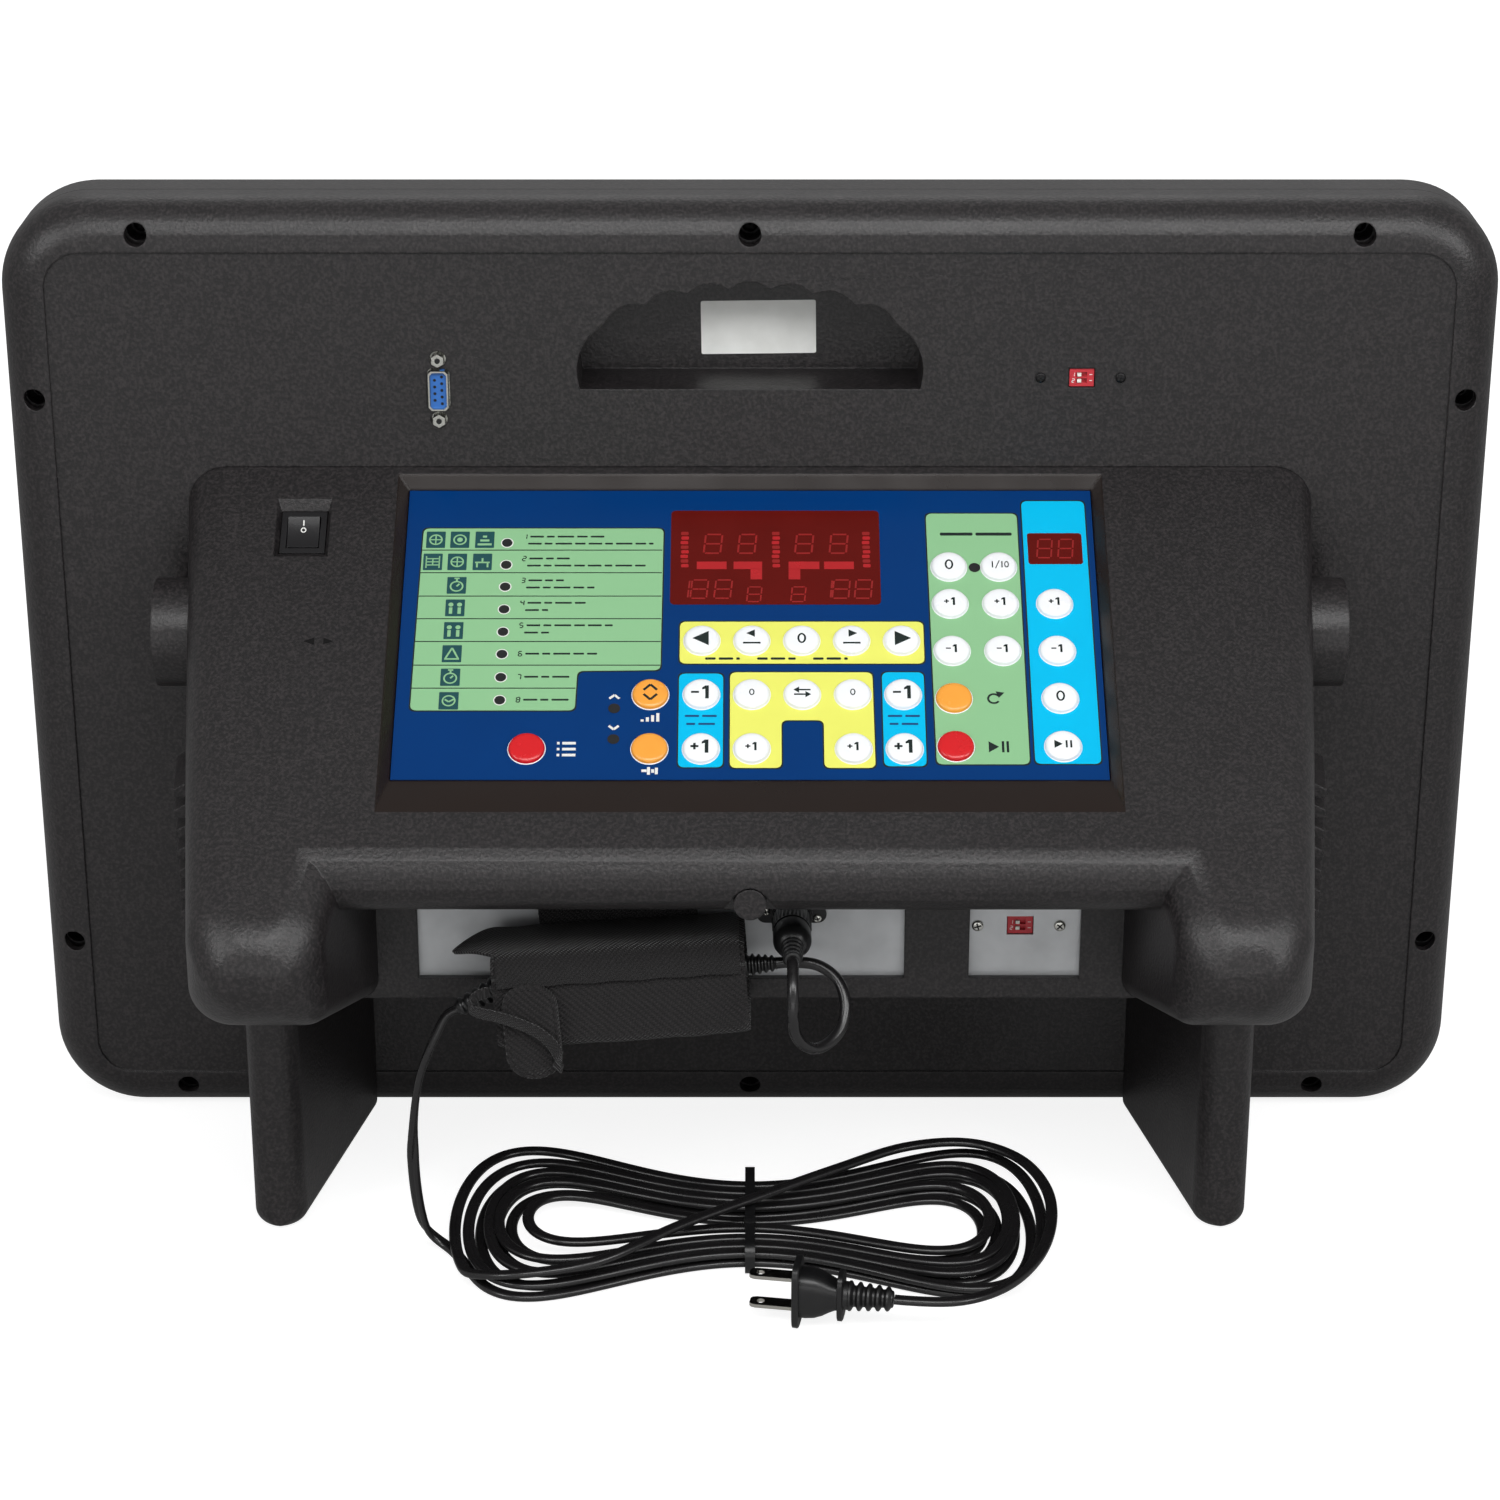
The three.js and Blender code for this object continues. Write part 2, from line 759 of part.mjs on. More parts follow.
// Sections of the console from its mouth to the end of the arms, drawn in by an inset
function consoleStations(inset, mouth) {
  const centre = noseCentre(armLength, bulbRadius);
  const radius = bulbRadius - inset;
  const rise = centre.height - consoleBase;
  const run = centre.reach - wallReach;
  const under = Math.atan2(rise, run) - Math.asin(bulbRadius / Math.hypot(rise, run));
  const underEnd = centre.reach + radius * Math.sin(under);
  const deckEnd = armLength * Math.cos(slope);
  const round = (reach) => Math.sqrt(Math.max(radius * radius - (reach - centre.reach) ** 2, 0));
  const low = (reach) => {
    if (reach > underEnd) return centre.height - round(reach);
    return consoleBase + Math.max(reach - wallReach, 0) * Math.tan(under) + inset / Math.cos(under);
  };
  const high = (reach) => (reach > deckEnd ? centre.height + round(reach) : deckHeight(reach, inset));
  const reaches = [mouth, wallReach];
  for (let i = 0; i <= noseStepCount; i += 1) {
    const angle = under + ((rad(noseSweepAngle) - under) * i) / noseStepCount;
    reaches.push(centre.reach + radius * Math.sin(angle));
  }
  return reaches.map((reach) => {
    const share = Math.max(reach - centre.reach, 0) / radius;
    const draw = inset + (sideRound - inset) * (1 - Math.sqrt(1 - share * share));
    return { reach, low: low(reach), high: high(reach), draw };
  });
}

// Wedge of the console with its deck, side walls and rounded rear end
function consoleWedge(inset, mouth) {
  return solid(loft(consoleStations(inset, mouth).map(({ reach, low, high, draw }) => {
    const side = sideAt(reach, draw);
    return ringAt(-reach, -side, side, low, high, sideRound - inset, consoleStepCount);
  })));
}

// Form of one arm with rounded inner edges, open towards the outside of the console
function armForm(side, inset) {
  const stations = consoleStations(inset, wallReach - 2 * overrun);
  const tip = stations[stations.length - 1];
  stations.push({ ...tip, reach: tip.reach + overrun });
  const beyond = consoleHalfWidth + 2 * sideRound;
  return solid(loft(stations.map(({ reach, low, high, draw }) => {
    const inner = armInnerAt(reach, draw);
    const [left, right] = side < 0 ? [-beyond, -inner] : [inner, beyond];
    const [round, under] = [armRound - inset, armUnderRound - inset];
    return ringAt(-reach, left, right, low - flush, high + flush, round, consoleStepCount, under);
  })));
}

// Space behind the rear wall and round the bar, grown by a margin
function rearSpace(grow) {
  const nose = noseCentre(barLength, barRadius);
  const radius = barRadius - grow;
  const outside = armLength + bulbRadius;
  const profile = [
    [wallReach - grow, consoleBase - bulbRadius],
    [wallReach - grow, nose.height - radius],
    [nose.reach, nose.height - radius],
  ];
  for (let i = 1; i < noseStepCount; i += 1) {
    const angle = ((Math.PI - slope) * i) / noseStepCount;
    profile.push([nose.reach + radius * Math.sin(angle), nose.height - radius * Math.cos(angle)]);
  }
  const lift = radius + bulbRadius;
  profile.push([nose.reach + radius * Math.sin(slope), nose.height + radius * Math.cos(slope)]);
  profile.push([nose.reach + lift * Math.sin(slope), nose.height + lift * Math.cos(slope)]);
  profile.push([outside, nose.height + lift * Math.cos(slope)]);
  profile.push([outside, consoleBase - bulbRadius]);
  const ring = (x) => profile.map(([reach, height]) => new THREE.Vector3(x, -reach, height));
  const beyond = consoleHalfWidth + overrun;
  return solid(extrudeBetween(ring(-beyond), ring(beyond)));
}

// Whole console form, drawn in by an inset
function consoleForm(inset, mouth) {
  const space = rearSpace(inset).subtract(armForm(-1, inset)).subtract(armForm(1, inset));
  return largest(consoleWedge(inset, mouth).subtract(space));
}

// Keypad recess: bevelled mouth, seat for the panel and opening for the keys
function recessCutter() {
  const mouthHalf = panelWidth / 2 + gap + recessBevel;
  const seatHalf = panelWidth / 2 + gap;
  const seatTop = recessTop + recessBevel;
  const seatEnd = seatTop + panelLength + 2 * gap;
  const rect = (half, top, end, height) => [
    new THREE.Vector3(half, -top, height),
    new THREE.Vector3(-half, -top, height),
    new THREE.Vector3(-half, -end, height),
    new THREE.Vector3(half, -end, height),
  ];
  const out = overrun / recessDepth;
  const mouth = solid(loft([
    rect(
      mouthHalf + recessBevel * out,
      recessTop - recessBevel * out,
      seatEnd + recessLowerBevel * (1 + out),
      overrun,
    ),
    rect(seatHalf, seatTop, seatEnd, -recessDepth),
    rect(seatHalf, seatTop, seatEnd, -recessDepth - panelThickness - gap),
  ]));
  const opening = solid(loft([
    rect(seatHalf - recessLedge, seatTop + recessLedge, seatEnd - recessLedge, -recessDepth),
    rect(seatHalf - recessLedge, seatTop + recessLedge, seatEnd - recessLedge, -recessDepth - wall * 3),
  ]));
  return onDeck(mouth.add(opening));
}

const panelFloor = recessDepth + panelThickness + gap;
const rockerFrameFloor = rockerRecessDepth + rockerFlangeThickness + gap;
const rockerHoleWidth = rockerKeyWidth + 2 * gap + 2 * rockerBodyWall;
const rockerHoleLength = rockerKeyLength + 2 * rockerEndGap + 2 * rockerBodyWall;

// Rocker recess: bevelled square mouth with a seat and a hole for the switch body
function rockerCutter() {
  const rect = (width, length, height) => {
    const [x, y] = [width / 2, length / 2];
    return [
      new THREE.Vector3(rockerColumn + x, y - rockerRow, height),
      new THREE.Vector3(rockerColumn - x, y - rockerRow, height),
      new THREE.Vector3(rockerColumn - x, -y - rockerRow, height),
      new THREE.Vector3(rockerColumn + x, -y - rockerRow, height),
    ];
  };
  const seat = [rockerFlangeWidth + 2 * gap, rockerFlangeLength + 2 * gap];
  const mouth = solid(loft([
    rect(rockerRecessWidth, rockerRecessLength, overrun),
    rect(rockerRecessWidth, rockerRecessLength, 0),
    rect(seat[0], seat[1], -rockerRecessDepth),
    rect(seat[0], seat[1], -rockerFrameFloor),
  ]));
  const hole = solid(loft([
    rect(rockerHoleWidth + 2 * gap, rockerHoleLength + 2 * gap, -rockerRecessDepth),
    rect(rockerHoleWidth + 2 * gap, rockerHoleLength + 2 * gap, -rockerFrameFloor - wall - overrun),
  ]));
  return onDeck(mouth.add(hole));
}

// Slats that hood the horn openings in both side walls
function makeLouvres() {
  const bodies = [];
  for (const side of [-1, 1]) {
    for (let i = 0; i < louvreCount; i += 1) {
      const height = louvreLowest + i * louvrePitch;
      const root = sideAt(louvreReach, wall / 2);
      const slat = new THREE.Shape();
      slat.moveTo(0, height - louvreLip / 2);
      slat.lineTo(wall / 2 + louvreStandout, height - louvreLip / 2);
      slat.lineTo(wall / 2 + louvreStandout, height + louvreLip / 2);
      slat.lineTo(wall / 2, height + louvreLip / 2 + louvreStandout / 2);
      slat.lineTo(0, height + louvreLip / 2 + louvreStandout / 2);
      slat.closePath();
      const geometry = extrudeY(slat, 0, louvreLength).rotateZ(rad(-sideDraft));
      geometry.translate(root, -louvreReach, 0);
      if (side < 0) geometry.scale(-1, 1, 1);
      bodies.push(solid(geometry));
    }
  }
  return bodies;
}

// Console shell: moulded housing with recesses, arms, bosses, louvres and windows
function makeConsoleShell() {
  const outer = consoleForm(0, gap);
  let shell = outer.subtract(consoleForm(wall, -overrun));
  const panLength = panelLength + recessBevel + recessLowerBevel + 2 * wall;
  const pan = deckBlock(
    panelWidth + 2 * recessBevel + 2 * wall,
    panLength,
    panelFloor + wall - gap,
    0,
    recessTop - wall + panLength / 2,
    -gap,
  );
  const rockerPan = deckBlock(
    rockerRecessWidth + 2 * wall,
    rockerRecessLength + 2 * wall,
    rockerFrameFloor + wall - gap,
    rockerColumn,
    rockerRow,
    -gap,
  );
  shell = shell.add(onDeck(pan.add(rockerPan)).intersect(outer));
  for (const side of [-1, 1]) {
    const inner = sideAt(bossReach, wall + gap);
    const length = wall + gap + bossStandout;
    const boss = new THREE.CylinderGeometry(bossDiameter / 2, bossDiameter / 2, length, roundStepCount);
    boss.rotateZ(Math.PI / 2).translate(side * (inner + length / 2), -bossReach, bossHeight);
    shell = shell.add(solid(boss));
  }
  shell = join(shell, ...makeLouvres());
  for (const [left, right] of [[socketWindowLeft, socketWindowRight], [dipWindowLeft, dipWindowRight]]) {
    shell = shell.subtract(block(
      right - left,
      wall + 2 * overrun,
      windowTop - windowBottom,
      (left + right) / 2,
      wall / 2 - wallReach,
      (windowTop + windowBottom) / 2,
    ));
  }
  shell = shell.subtract(recessCutter()).subtract(rockerCutter());
  return shell.add(barPad().intersect(outer)).subtract(barNotch()).add(barBoss());
}

// Solid pad that carries the notch
function barPad() {
  const nose = noseCentre(barLength, barRadius);
  const width = 2 * (barNotchHalfWidth + wall);
  const y = -nose.reach - barRadius * barPadShare;
  return block(width, barRadius, barRadius + barNotchRise, 0, y, nose.height - barRadius / 2);
}

// Arched notch under the middle of the bar
function barNotch() {
  const nose = noseCentre(barLength, barRadius);
  const low = nose.height - barRadius;
  const outline = new THREE.Shape();
  outline.moveTo(-barNotchHalfWidth, low - overrun);
  outline.lineTo(barNotchHalfWidth, low - overrun);
  outline.quadraticCurveTo(barNotchHalfWidth / 2, low + barNotchRise, 0, low + barNotchRise);
  outline.quadraticCurveTo(-barNotchHalfWidth / 2, low + barNotchRise, -barNotchHalfWidth, low - overrun);
  outline.closePath();
  return solid(extrudeY(outline, -nose.reach - barRadius - overrun, -nose.reach - barRadius / 3));
}

// Round boss that fills the top of the notch
function barBoss() {
  const nose = noseCentre(barLength, barRadius);
  const height = nose.height - barRadius + barNotchRise / 2;
  return rodY(barBossDiameter, -nose.reach - barRadius + gap, -nose.reach, 0, height);
}

// Leg: splayed fin from under the console down to the floor
function makeLeg(side) {
  const top = consoleBase - gap;
  const station = (reach, draw) => {
    const share = reach / legReach;
    const inner = legInnerAtBoard + (legInnerAtRear - legInnerAtBoard) * share + draw;
    const outer = legOuterAtBoard + (legOuterAtRear - legOuterAtBoard) * share - draw;
    const [left, right] = side < 0 ? [-outer, -inner] : [inner, outer];
    const ring = ringAt(-reach, left, right, draw / 3, top + legFootRound, legFootRound, archStepCount);
    for (const point of ring) point.z = Math.min(point.z, top);
    return ring;
  };
  const rings = [station(rimStep + gap, 0), station(legReach - legEdgeRound, 0)];
  for (let i = 1; i <= archStepCount; i += 1) {
    const angle = (rad(85) * i) / archStepCount;
    const reach = legReach - legEdgeRound * (1 - Math.sin(angle));
    rings.push(station(reach, legEdgeRound * (1 - Math.cos(angle))));
  }
  const leg = solid(loft(rings));
  return leg;
}

// Keys: name, column, row and material
const keys = [];
const setKeyCount = 5;
for (let i = 0; i < setKeyCount; i += 1) {
  keys.push([`set_key_${i + 1}`, firstColumn + i * columnPitch, setRow, keyWhite]);
}
const scoreKeyNames = ['guest', 'score_clear', 'side', 'foul_clear', 'home'];
scoreKeyNames.forEach((name, i) => {
  const suffix = name === 'guest' || name === 'home' ? '_minus_key' : '_key';
  keys.push([`${name}${suffix}`, firstColumn + i * columnPitch, minusRow, keyWhite]);
});
keys.push(['guest_plus_key', firstColumn, plusRow, keyWhite]);
keys.push(['guest_foul_key', firstColumn + columnPitch, plusRow, keyWhite]);
keys.push(['home_foul_key', firstColumn + 3 * columnPitch, plusRow, keyWhite]);
keys.push(['home_plus_key', firstColumn + 4 * columnPitch, plusRow, keyWhite]);
keys.push(['clock_clear_key', clockColumn, clockTopRow, keyWhite]);
keys.push(['clock_tenth_key', clockColumn + clockColumnPitch, clockTopRow, keyWhite]);
keys.push(['minute_plus_key', clockColumn, clockSecondRow, keyWhite]);
keys.push(['second_plus_key', clockColumn + clockColumnPitch, clockSecondRow, keyWhite]);
keys.push(['minute_minus_key', clockColumn, clockThirdRow, keyWhite]);
keys.push(['second_minus_key', clockColumn + clockColumnPitch, clockThirdRow, keyWhite]);
keys.push(['clock_reset_key', clockColumn, clockFourthRow, keyOrange]);
keys.push(['clock_start_key', clockColumn, clockLastRow, keyRed]);
keys.push(['shot_plus_key', shotColumn, clockSecondRow, keyWhite]);
keys.push(['shot_minus_key', shotColumn, clockThirdRow, keyWhite]);
keys.push(['shot_reset_key', shotColumn, clockFourthRow, keyWhite]);
keys.push(['shot_start_key', shotColumn, clockLastRow, keyWhite]);
keys.push(['volume_key', optionColumn, minusRow, keyOrange]);
keys.push(['horn_key', optionColumn, plusRow, keyOrange]);
keys.push(['mode_key', modeColumn, plusRow, keyRed]);

const keyBottom = recessDepth + panelThickness + keySkirt;

// Key: short round plunger with a crowned top
function makeKey() {
  const radius = keyDiameter / 2;
  const profile = [
    new THREE.Vector2(0, -keyBottom),
    new THREE.Vector2(radius, -keyBottom),
    new THREE.Vector2(radius, -recessDepth + keyShoulder),
    new THREE.Vector2(radius * keyCrownShare, -recessDepth + keyRise),
    new THREE.Vector2(0, -recessDepth + keyRise + gap),
  ];
  return new THREE.LatheGeometry(profile, keyStepCount).rotateX(Math.PI / 2);
}

// Keypad panel: flat plate with a round hole for each key
function makeKeypadPanel() {
  let panel = deckBlock(
    panelWidth,
    panelLength,
    panelThickness,
    0,
    panelTop + panelLength / 2,
    -recessDepth,
  );
  for (const [, column, row] of keys) {
    const hole = new THREE.CylinderGeometry(
      keyDiameter / 2 + gap,
      keyDiameter / 2 + gap,
      panelThickness + 2 * overrun,
      keyStepCount,
    );
    hole.rotateX(Math.PI / 2).translate(column, -row, -recessDepth - panelThickness / 2);
    panel = panel.subtract(solid(hole));
  }
  return panel;
}

// Keypad board: circuit board with a switch under each key and the two readouts
function makeKeypadBoard() {
  const top = panelFloor + wall + gap;
  const width = panelWidth - 4 * recessLedge;
  let board = deckBlock(
    panelWidth,
    panelLength - 2 * recessLedge,
    boardThickness,
    0,
    panelTop + panelLength / 2,
    -top,
  );
  board = board.add(deckBlock(
    width,
    panelLength - 4 * recessLedge,
    gap + 2 * gap,
    0,
    panelTop + panelLength / 2,
    gap - top,
  ));
  const switchTop = keyBottom + keyTravel + gap / 3;
  for (const [, column, row] of keys) {
    const [radius, rise] = [switchDiameter / 2, top - switchTop + gap];
    const post = new THREE.CylinderGeometry(radius, radius, rise, cordSideCount);
    post.rotateX(Math.PI / 2).translate(column, -row, -(top + switchTop + gap) / 2);
    board = board.add(solid(post));
  }
  const readout = (readoutWidth, length, column, row) => deckBlock(
    readoutWidth,
    length,
    readoutHeight + gap,
    column,
    row,
    readoutHeight - top,
  );
  board = board.add(readout(mainReadoutWidth, mainReadoutLength, mainReadoutColumn, mainReadoutRow));
  return board.add(readout(shotReadoutWidth, shotReadoutLength, shotColumn, shotReadoutRow));
}

// Rocker frame: flange and open box that hold the rocker key
function makeRockerFrame() {
  const flangeTop = -rockerRecessDepth;
  const flange = deckBlock(
    rockerFlangeWidth,
    rockerFlangeLength,
    rockerFlangeThickness,
    rockerColumn,
    rockerRow,
    flangeTop,
  );
  const box = deckBlock(
    rockerHoleWidth,
    rockerHoleLength,
    rockerBodyDepth,
    rockerColumn,
    rockerRow,
    flangeTop - rockerFlangeThickness / 2,
  );
  const well = deckBlock(
    rockerKeyWidth + 2 * gap,
    rockerKeyLength + 2 * rockerEndGap,
    rockerBodyDepth,
    rockerColumn,
    rockerRow,
    flangeTop + overrun,
  );
  return flange.add(box).subtract(well);
}

// Rocker key: dished top and a tapered foot, drawn about its pivot line
function makeRockerKey() {
  const half = rockerKeyLength / 2;
  const outline = new THREE.Shape();
  outline.moveTo(-half, rockerPivotDepth + rockerKeyDish);
  outline.lineTo(-half, -rockerPivotDepth);
  outline.lineTo(-half / 2, rockerPivotDepth - rockerKeyHeight);
  outline.lineTo(half / 2, rockerPivotDepth - rockerKeyHeight);
  outline.lineTo(half, -rockerPivotDepth);
  outline.lineTo(half, rockerPivotDepth + rockerKeyDish);
  outline.quadraticCurveTo(0, rockerPivotDepth - rockerKeyDish, -half, rockerPivotDepth + rockerKeyDish);
  return extrudeX(outline, -rockerKeyWidth / 2, rockerKeyWidth / 2);
}

const plateFront = -wallReach + wall + gap;
const plateMiddleHeight = (windowTop + windowBottom) / 2;

// Metal service plate behind one window
function makePlate(left, right) {
  return block(
    right - left + 2 * plateBorder,
    plateThickness,
    windowTop - windowBottom + 2 * plateBorder - 2 * gap,
    (left + right) / 2,
    plateFront + plateThickness / 2,
    plateMiddleHeight,
  );
}

// Body of a two-lever coding switch, with its face at a given Y
function makeDipBody(column, height, face) {
  let body = block(dipWidth, dipDepth, dipHeight, column, face + dipDepth / 2, height);
  for (const side of [-1, 1]) {
    body = body.subtract(block(
      leverWidth + leverTravel + 2 * gap,
      2 * (leverDepth + gap),
      leverHeight + 2 * gap,
      column,
      face,
      height + (side * leverPitch) / 2,
    ));
  }
  return body;
}

// Lever of a coding switch, resting at the left end of its slot
function makeLever(column, height, face) {
  return block(
    leverWidth,
    leverDepth + leverProud,
    leverHeight,
    column - leverTravel / 2,
    face + (leverDepth - leverProud) / 2,
    height,
  );
}

// Data port: flange, shell with its insulator and two jack posts, standing upright
function makeDataPort() {
  const back = wall + gap;
  const shellShape = (margin) => {
    const [width, length] = [portShellWidth / 2 - margin, portShellLength / 2 - margin];
    const lean = portShellRound / 2;
    const shape = new THREE.Shape();
    shape.moveTo(portColumn - width, portHeight + length - lean);
    shape.lineTo(portColumn - width, portHeight - length + lean);
    shape.lineTo(portColumn - width + lean, portHeight - length);
    shape.lineTo(portColumn + width - lean, portHeight - length);
    shape.lineTo(portColumn + width, portHeight - length + lean);
    shape.lineTo(portColumn + width, portHeight + length - lean);
    shape.lineTo(portColumn + width - lean, portHeight + length);
    shape.lineTo(portColumn - width + lean, portHeight + length);
    shape.closePath();
    return shape;
  };
  let port = block(
    portFlangeWidth,
    portFlangeThickness,
    portFlangeLength,
    portColumn,
    back + portFlangeThickness / 2,
    portHeight,
  );
  port = port.add(solid(extrudeY(shellShape(0), -portStandout, back + portFlangeThickness / 2)));
  const mouth = shellShape(portShellWall);
  port = port.subtract(solid(extrudeY(mouth, -portStandout - overrun, portSocketDepth - portStandout)));
  for (const side of [-1, 1]) {
    const height = portHeight + (side * jackSpacing) / 2;
    const seat = back + portFlangeThickness / 2;
    port = port.add(rodY(jackDiameter, -portStandout, seat, portColumn, height, nutSideCount));
  }
  return port;
}

// Power socket: eared flange, collar and barrel through the metal plate
function makePowerSocket() {
  const face = plateFront - gap;
  const half = socketEarSpacing / 2;
  const front = face - socketFlangeThickness;
  const flange = join(
    rodY(socketCollarDiameter, front - socketCollarLength, face, socketColumn, socketHeight),
    rodY(socketEarRadius * 2, front, face, socketColumn - half, socketHeight),
    rodY(socketEarRadius * 2, front, face, socketColumn + half, socketHeight),
    block(
      socketEarSpacing,
      socketFlangeThickness,
      socketEarRadius * 2,
      socketColumn,
      face - socketFlangeThickness / 2,
      socketHeight,
    ),
  );
  const barrel = rodY(socketBarrelDiameter, face - gap, face + socketBarrelDepth, socketColumn, socketHeight);
  return flange.add(barrel);
}

const dcPlugFace = plateFront - 2 * gap - socketFlangeThickness - socketCollarLength;
const dcPlugEnd = dcPlugFace - dcPlugLength - dcPlugNeckLength;

// Plug of the low-voltage lead: sleeve, neck and tapered boot along -Y
function makeDcPlug() {
  const sleeve = dcPlugDiameter / 2;
  const neck = dcPlugNeck / 2;
  const profile = [
    new THREE.Vector2(0, 0),
    new THREE.Vector2(sleeve, 0),
    new THREE.Vector2(sleeve, dcPlugLength * 0.8),
    new THREE.Vector2(neck, dcPlugLength),
    new THREE.Vector2(dcBootTip / 2, dcPlugLength + dcPlugNeckLength),
    new THREE.Vector2(0, dcPlugLength + dcPlugNeckLength),
  ];
  const plug = new THREE.LatheGeometry(profile, roundStepCount).rotateX(Math.PI);
  return outward(mergeVertices(plug).translate(socketColumn, dcPlugFace, socketHeight));
}

const pouchInnerDepth = adapterDepth + 2 * gap;
const pouchInnerHeight = adapterHeight + 2 * gap;
const pouchDepth = pouchInnerDepth + 2 * pouchCloth;
const pouchHeight = pouchInnerHeight + 2 * pouchCloth;
const pouch = new THREE.Group();
pouch.position.set(pouchCentre, -wallReach - gap - pouchDepth / 2, pouchCentreHeight);
pouch.rotation.y = rad(-pouchTilt);
unit.add(pouch);

// Tapered strain relief along X from a start, with an optional droop
function relief(length, tip, start, direction, droop) {
  const profile = [
    new THREE.Vector2(0, -overrun),
    new THREE.Vector2(reliefBase / 2, -overrun),
    new THREE.Vector2(reliefBase / 2, length / 4),
    new THREE.Vector2(tip / 2, length),
    new THREE.Vector2(0, length),
  ];
  const shape = mergeVertices(new THREE.LatheGeometry(profile, cordSideCount));
  shape.rotateZ(-direction * (Math.PI / 2)).rotateY(direction * rad(droop)).translate(start, 0, 0);
  return solid(shape);
}

// Adapter: rounded box with a strain relief at each end
function makeAdapter() {
  const half = adapterLength / 2;
  const outline = roundedOutline(adapterDepth, adapterHeight, adapterRound);
  const box = solid(extrudeX(outline, -half, half, edgeStepCount));
  const mains = relief(reliefLength, mainsReliefTip, -half, -1, mainsReliefDroop);
  const dc = relief(dcReliefLength, dcReliefTip, half, 1, 0);
  return join(box, mains, dc);
}

// Pouch: cloth sleeve round the adapter, with a hanger behind and a tail in front
function makePouch() {
  const half = pouchLength / 2;
  const outline = roundedOutline(pouchDepth, pouchHeight, pouchRound);
  const sleeve = solid(extrudeX(outline, -half, half, edgeStepCount));
  const inside = roundedOutline(pouchInnerDepth, pouchInnerHeight, pouchRound - pouchCloth);
  const hanger = block(
    hangerWidth,
    hangerThickness,
    windowTop - pouchCentreHeight,
    0,
    (pouchDepth - hangerThickness) / 2,
    (windowTop - pouchCentreHeight) / 2,
  );
  const tail = extrudeY(
    roundedOutline(tailWidth, pouchHeight + tailDrop, tailWidth / 2 - gap, tailWidth - half, -tailDrop),
    -pouchDepth / 2 - tailThickness,
    -pouchDepth / 2 + pouchCloth / 2,
    edgeStepCount,
  );
  const space = solid(extrudeX(inside, -half - overrun, half + overrun, edgeStepCount));
  return join(sleeve, hanger, solid(tail)).subtract(space);
}

// Tube of round section along a path
function tube(points, diameter, steps) {
  const path = new THREE.CatmullRomCurve3(points, false, 'centripetal');
  const section = new THREE.Shape();
  section.absarc(0, 0, diameter / 2, 0, Math.PI * 2);
  const options = { steps, extrudePath: path, bevelEnabled: false, curveSegments: cordSideCount / 2 };
  const geometry = new THREE.ExtrudeGeometry(section, options);
  geometry.deleteAttribute('normal');
  geometry.deleteAttribute('uv');
  return outward(mergeVertices(geometry));
}

// Points given as column, reach and height
const route = (...places) => places.map(([x, reach, z]) => new THREE.Vector3(x, -reach, z));

// Place on the hank at a number of turns from its start
function hankPoint(turns) {
  const perLayer = hankLoopCount / hankLayerCount;
  const layerShare = turns / perLayer;
  const layer = Math.min(Math.floor(layerShare), hankLayerCount - 1);
  const within = turns - layer * perLayer;
  const nest = hankNest * smooth(Math.min(within / hankNestRun, 1));
  const order = layer % 2 === 0 ? perLayer - within : within + nest;
  const angle = hankStart - Math.PI * 2 * turns;
  const climbStart = perLayer - hankClimb;
  const climb = layer < hankLayerCount - 1 ? Math.max(within - climbStart, 0) / hankClimb : 0;
  const height = mainsDiameter / 2 + hankFloorGap + hankLayerPitch * (layer + smooth(climb));
  const waist = hankWaist + hankWaistPitch * order;
  const lobe = hankLobe + hankLobePitch * order;
  const x = (hankHalfLength + hankPitch * order) * Math.cos(angle);
  const spread = Math.sin(angle) * (waist + lobe * Math.cos(angle) ** 2);
  return new THREE.Vector3(x, -hankReach - spread, height);
}

const hankStart = Math.PI * 0.9;
const hankClimb = 0.4;
const hankNest = 0.6;
const hankNestRun = 0.5;
const smooth = (share) => share * share * (3 - 2 * share);

// Hank: the wound cord as one unbroken tube
function makeHank() {
  const steps = hankLoopCount * loopStepCount;
  const points = [];
  for (let i = 0; i <= steps; i += 1) points.push(hankPoint((i * hankLoopCount) / steps));
  const rings = points.map((point, i) => {
    const before = points[Math.max(i - 1, 0)];
    const after = points[Math.min(i + 1, steps)];
    const along = after.clone().sub(before).normalize();
    const across = new THREE.Vector3(-along.y, along.x, 0).normalize();
    const rise = along.clone().cross(across).normalize();
    const ring = [];
    for (let k = 0; k < hankSideCount; k += 1) {
      const angle = (Math.PI * 2 * k) / hankSideCount;
      const offset = across.clone().multiplyScalar((Math.cos(angle) * mainsDiameter) / 2);
      offset.addScaledVector(rise, (Math.sin(angle) * mainsDiameter) / 2);
      ring.push(point.clone().add(offset));
    }
    return ring;
  });
  console.log('least gap of the hank to itself', leastGap().toFixed(2));
  return loft(rings);
}

// Least distance between skins of different turns, measured on points
function leastGap() {
  const samples = [];
  const perLoop = loopStepCount * 4;
  for (let i = 0; i <= hankLoopCount * perLoop; i += 1) samples.push(hankPoint(i / perLoop));
  let least = Infinity;
  for (let i = 0; i < samples.length; i += 1) {
    for (let j = i + perLoop / 4; j < samples.length; j += 1) {
      least = Math.min(least, samples[i].distanceTo(samples[j]));
    }
  }
  return least - mainsDiameter;
}

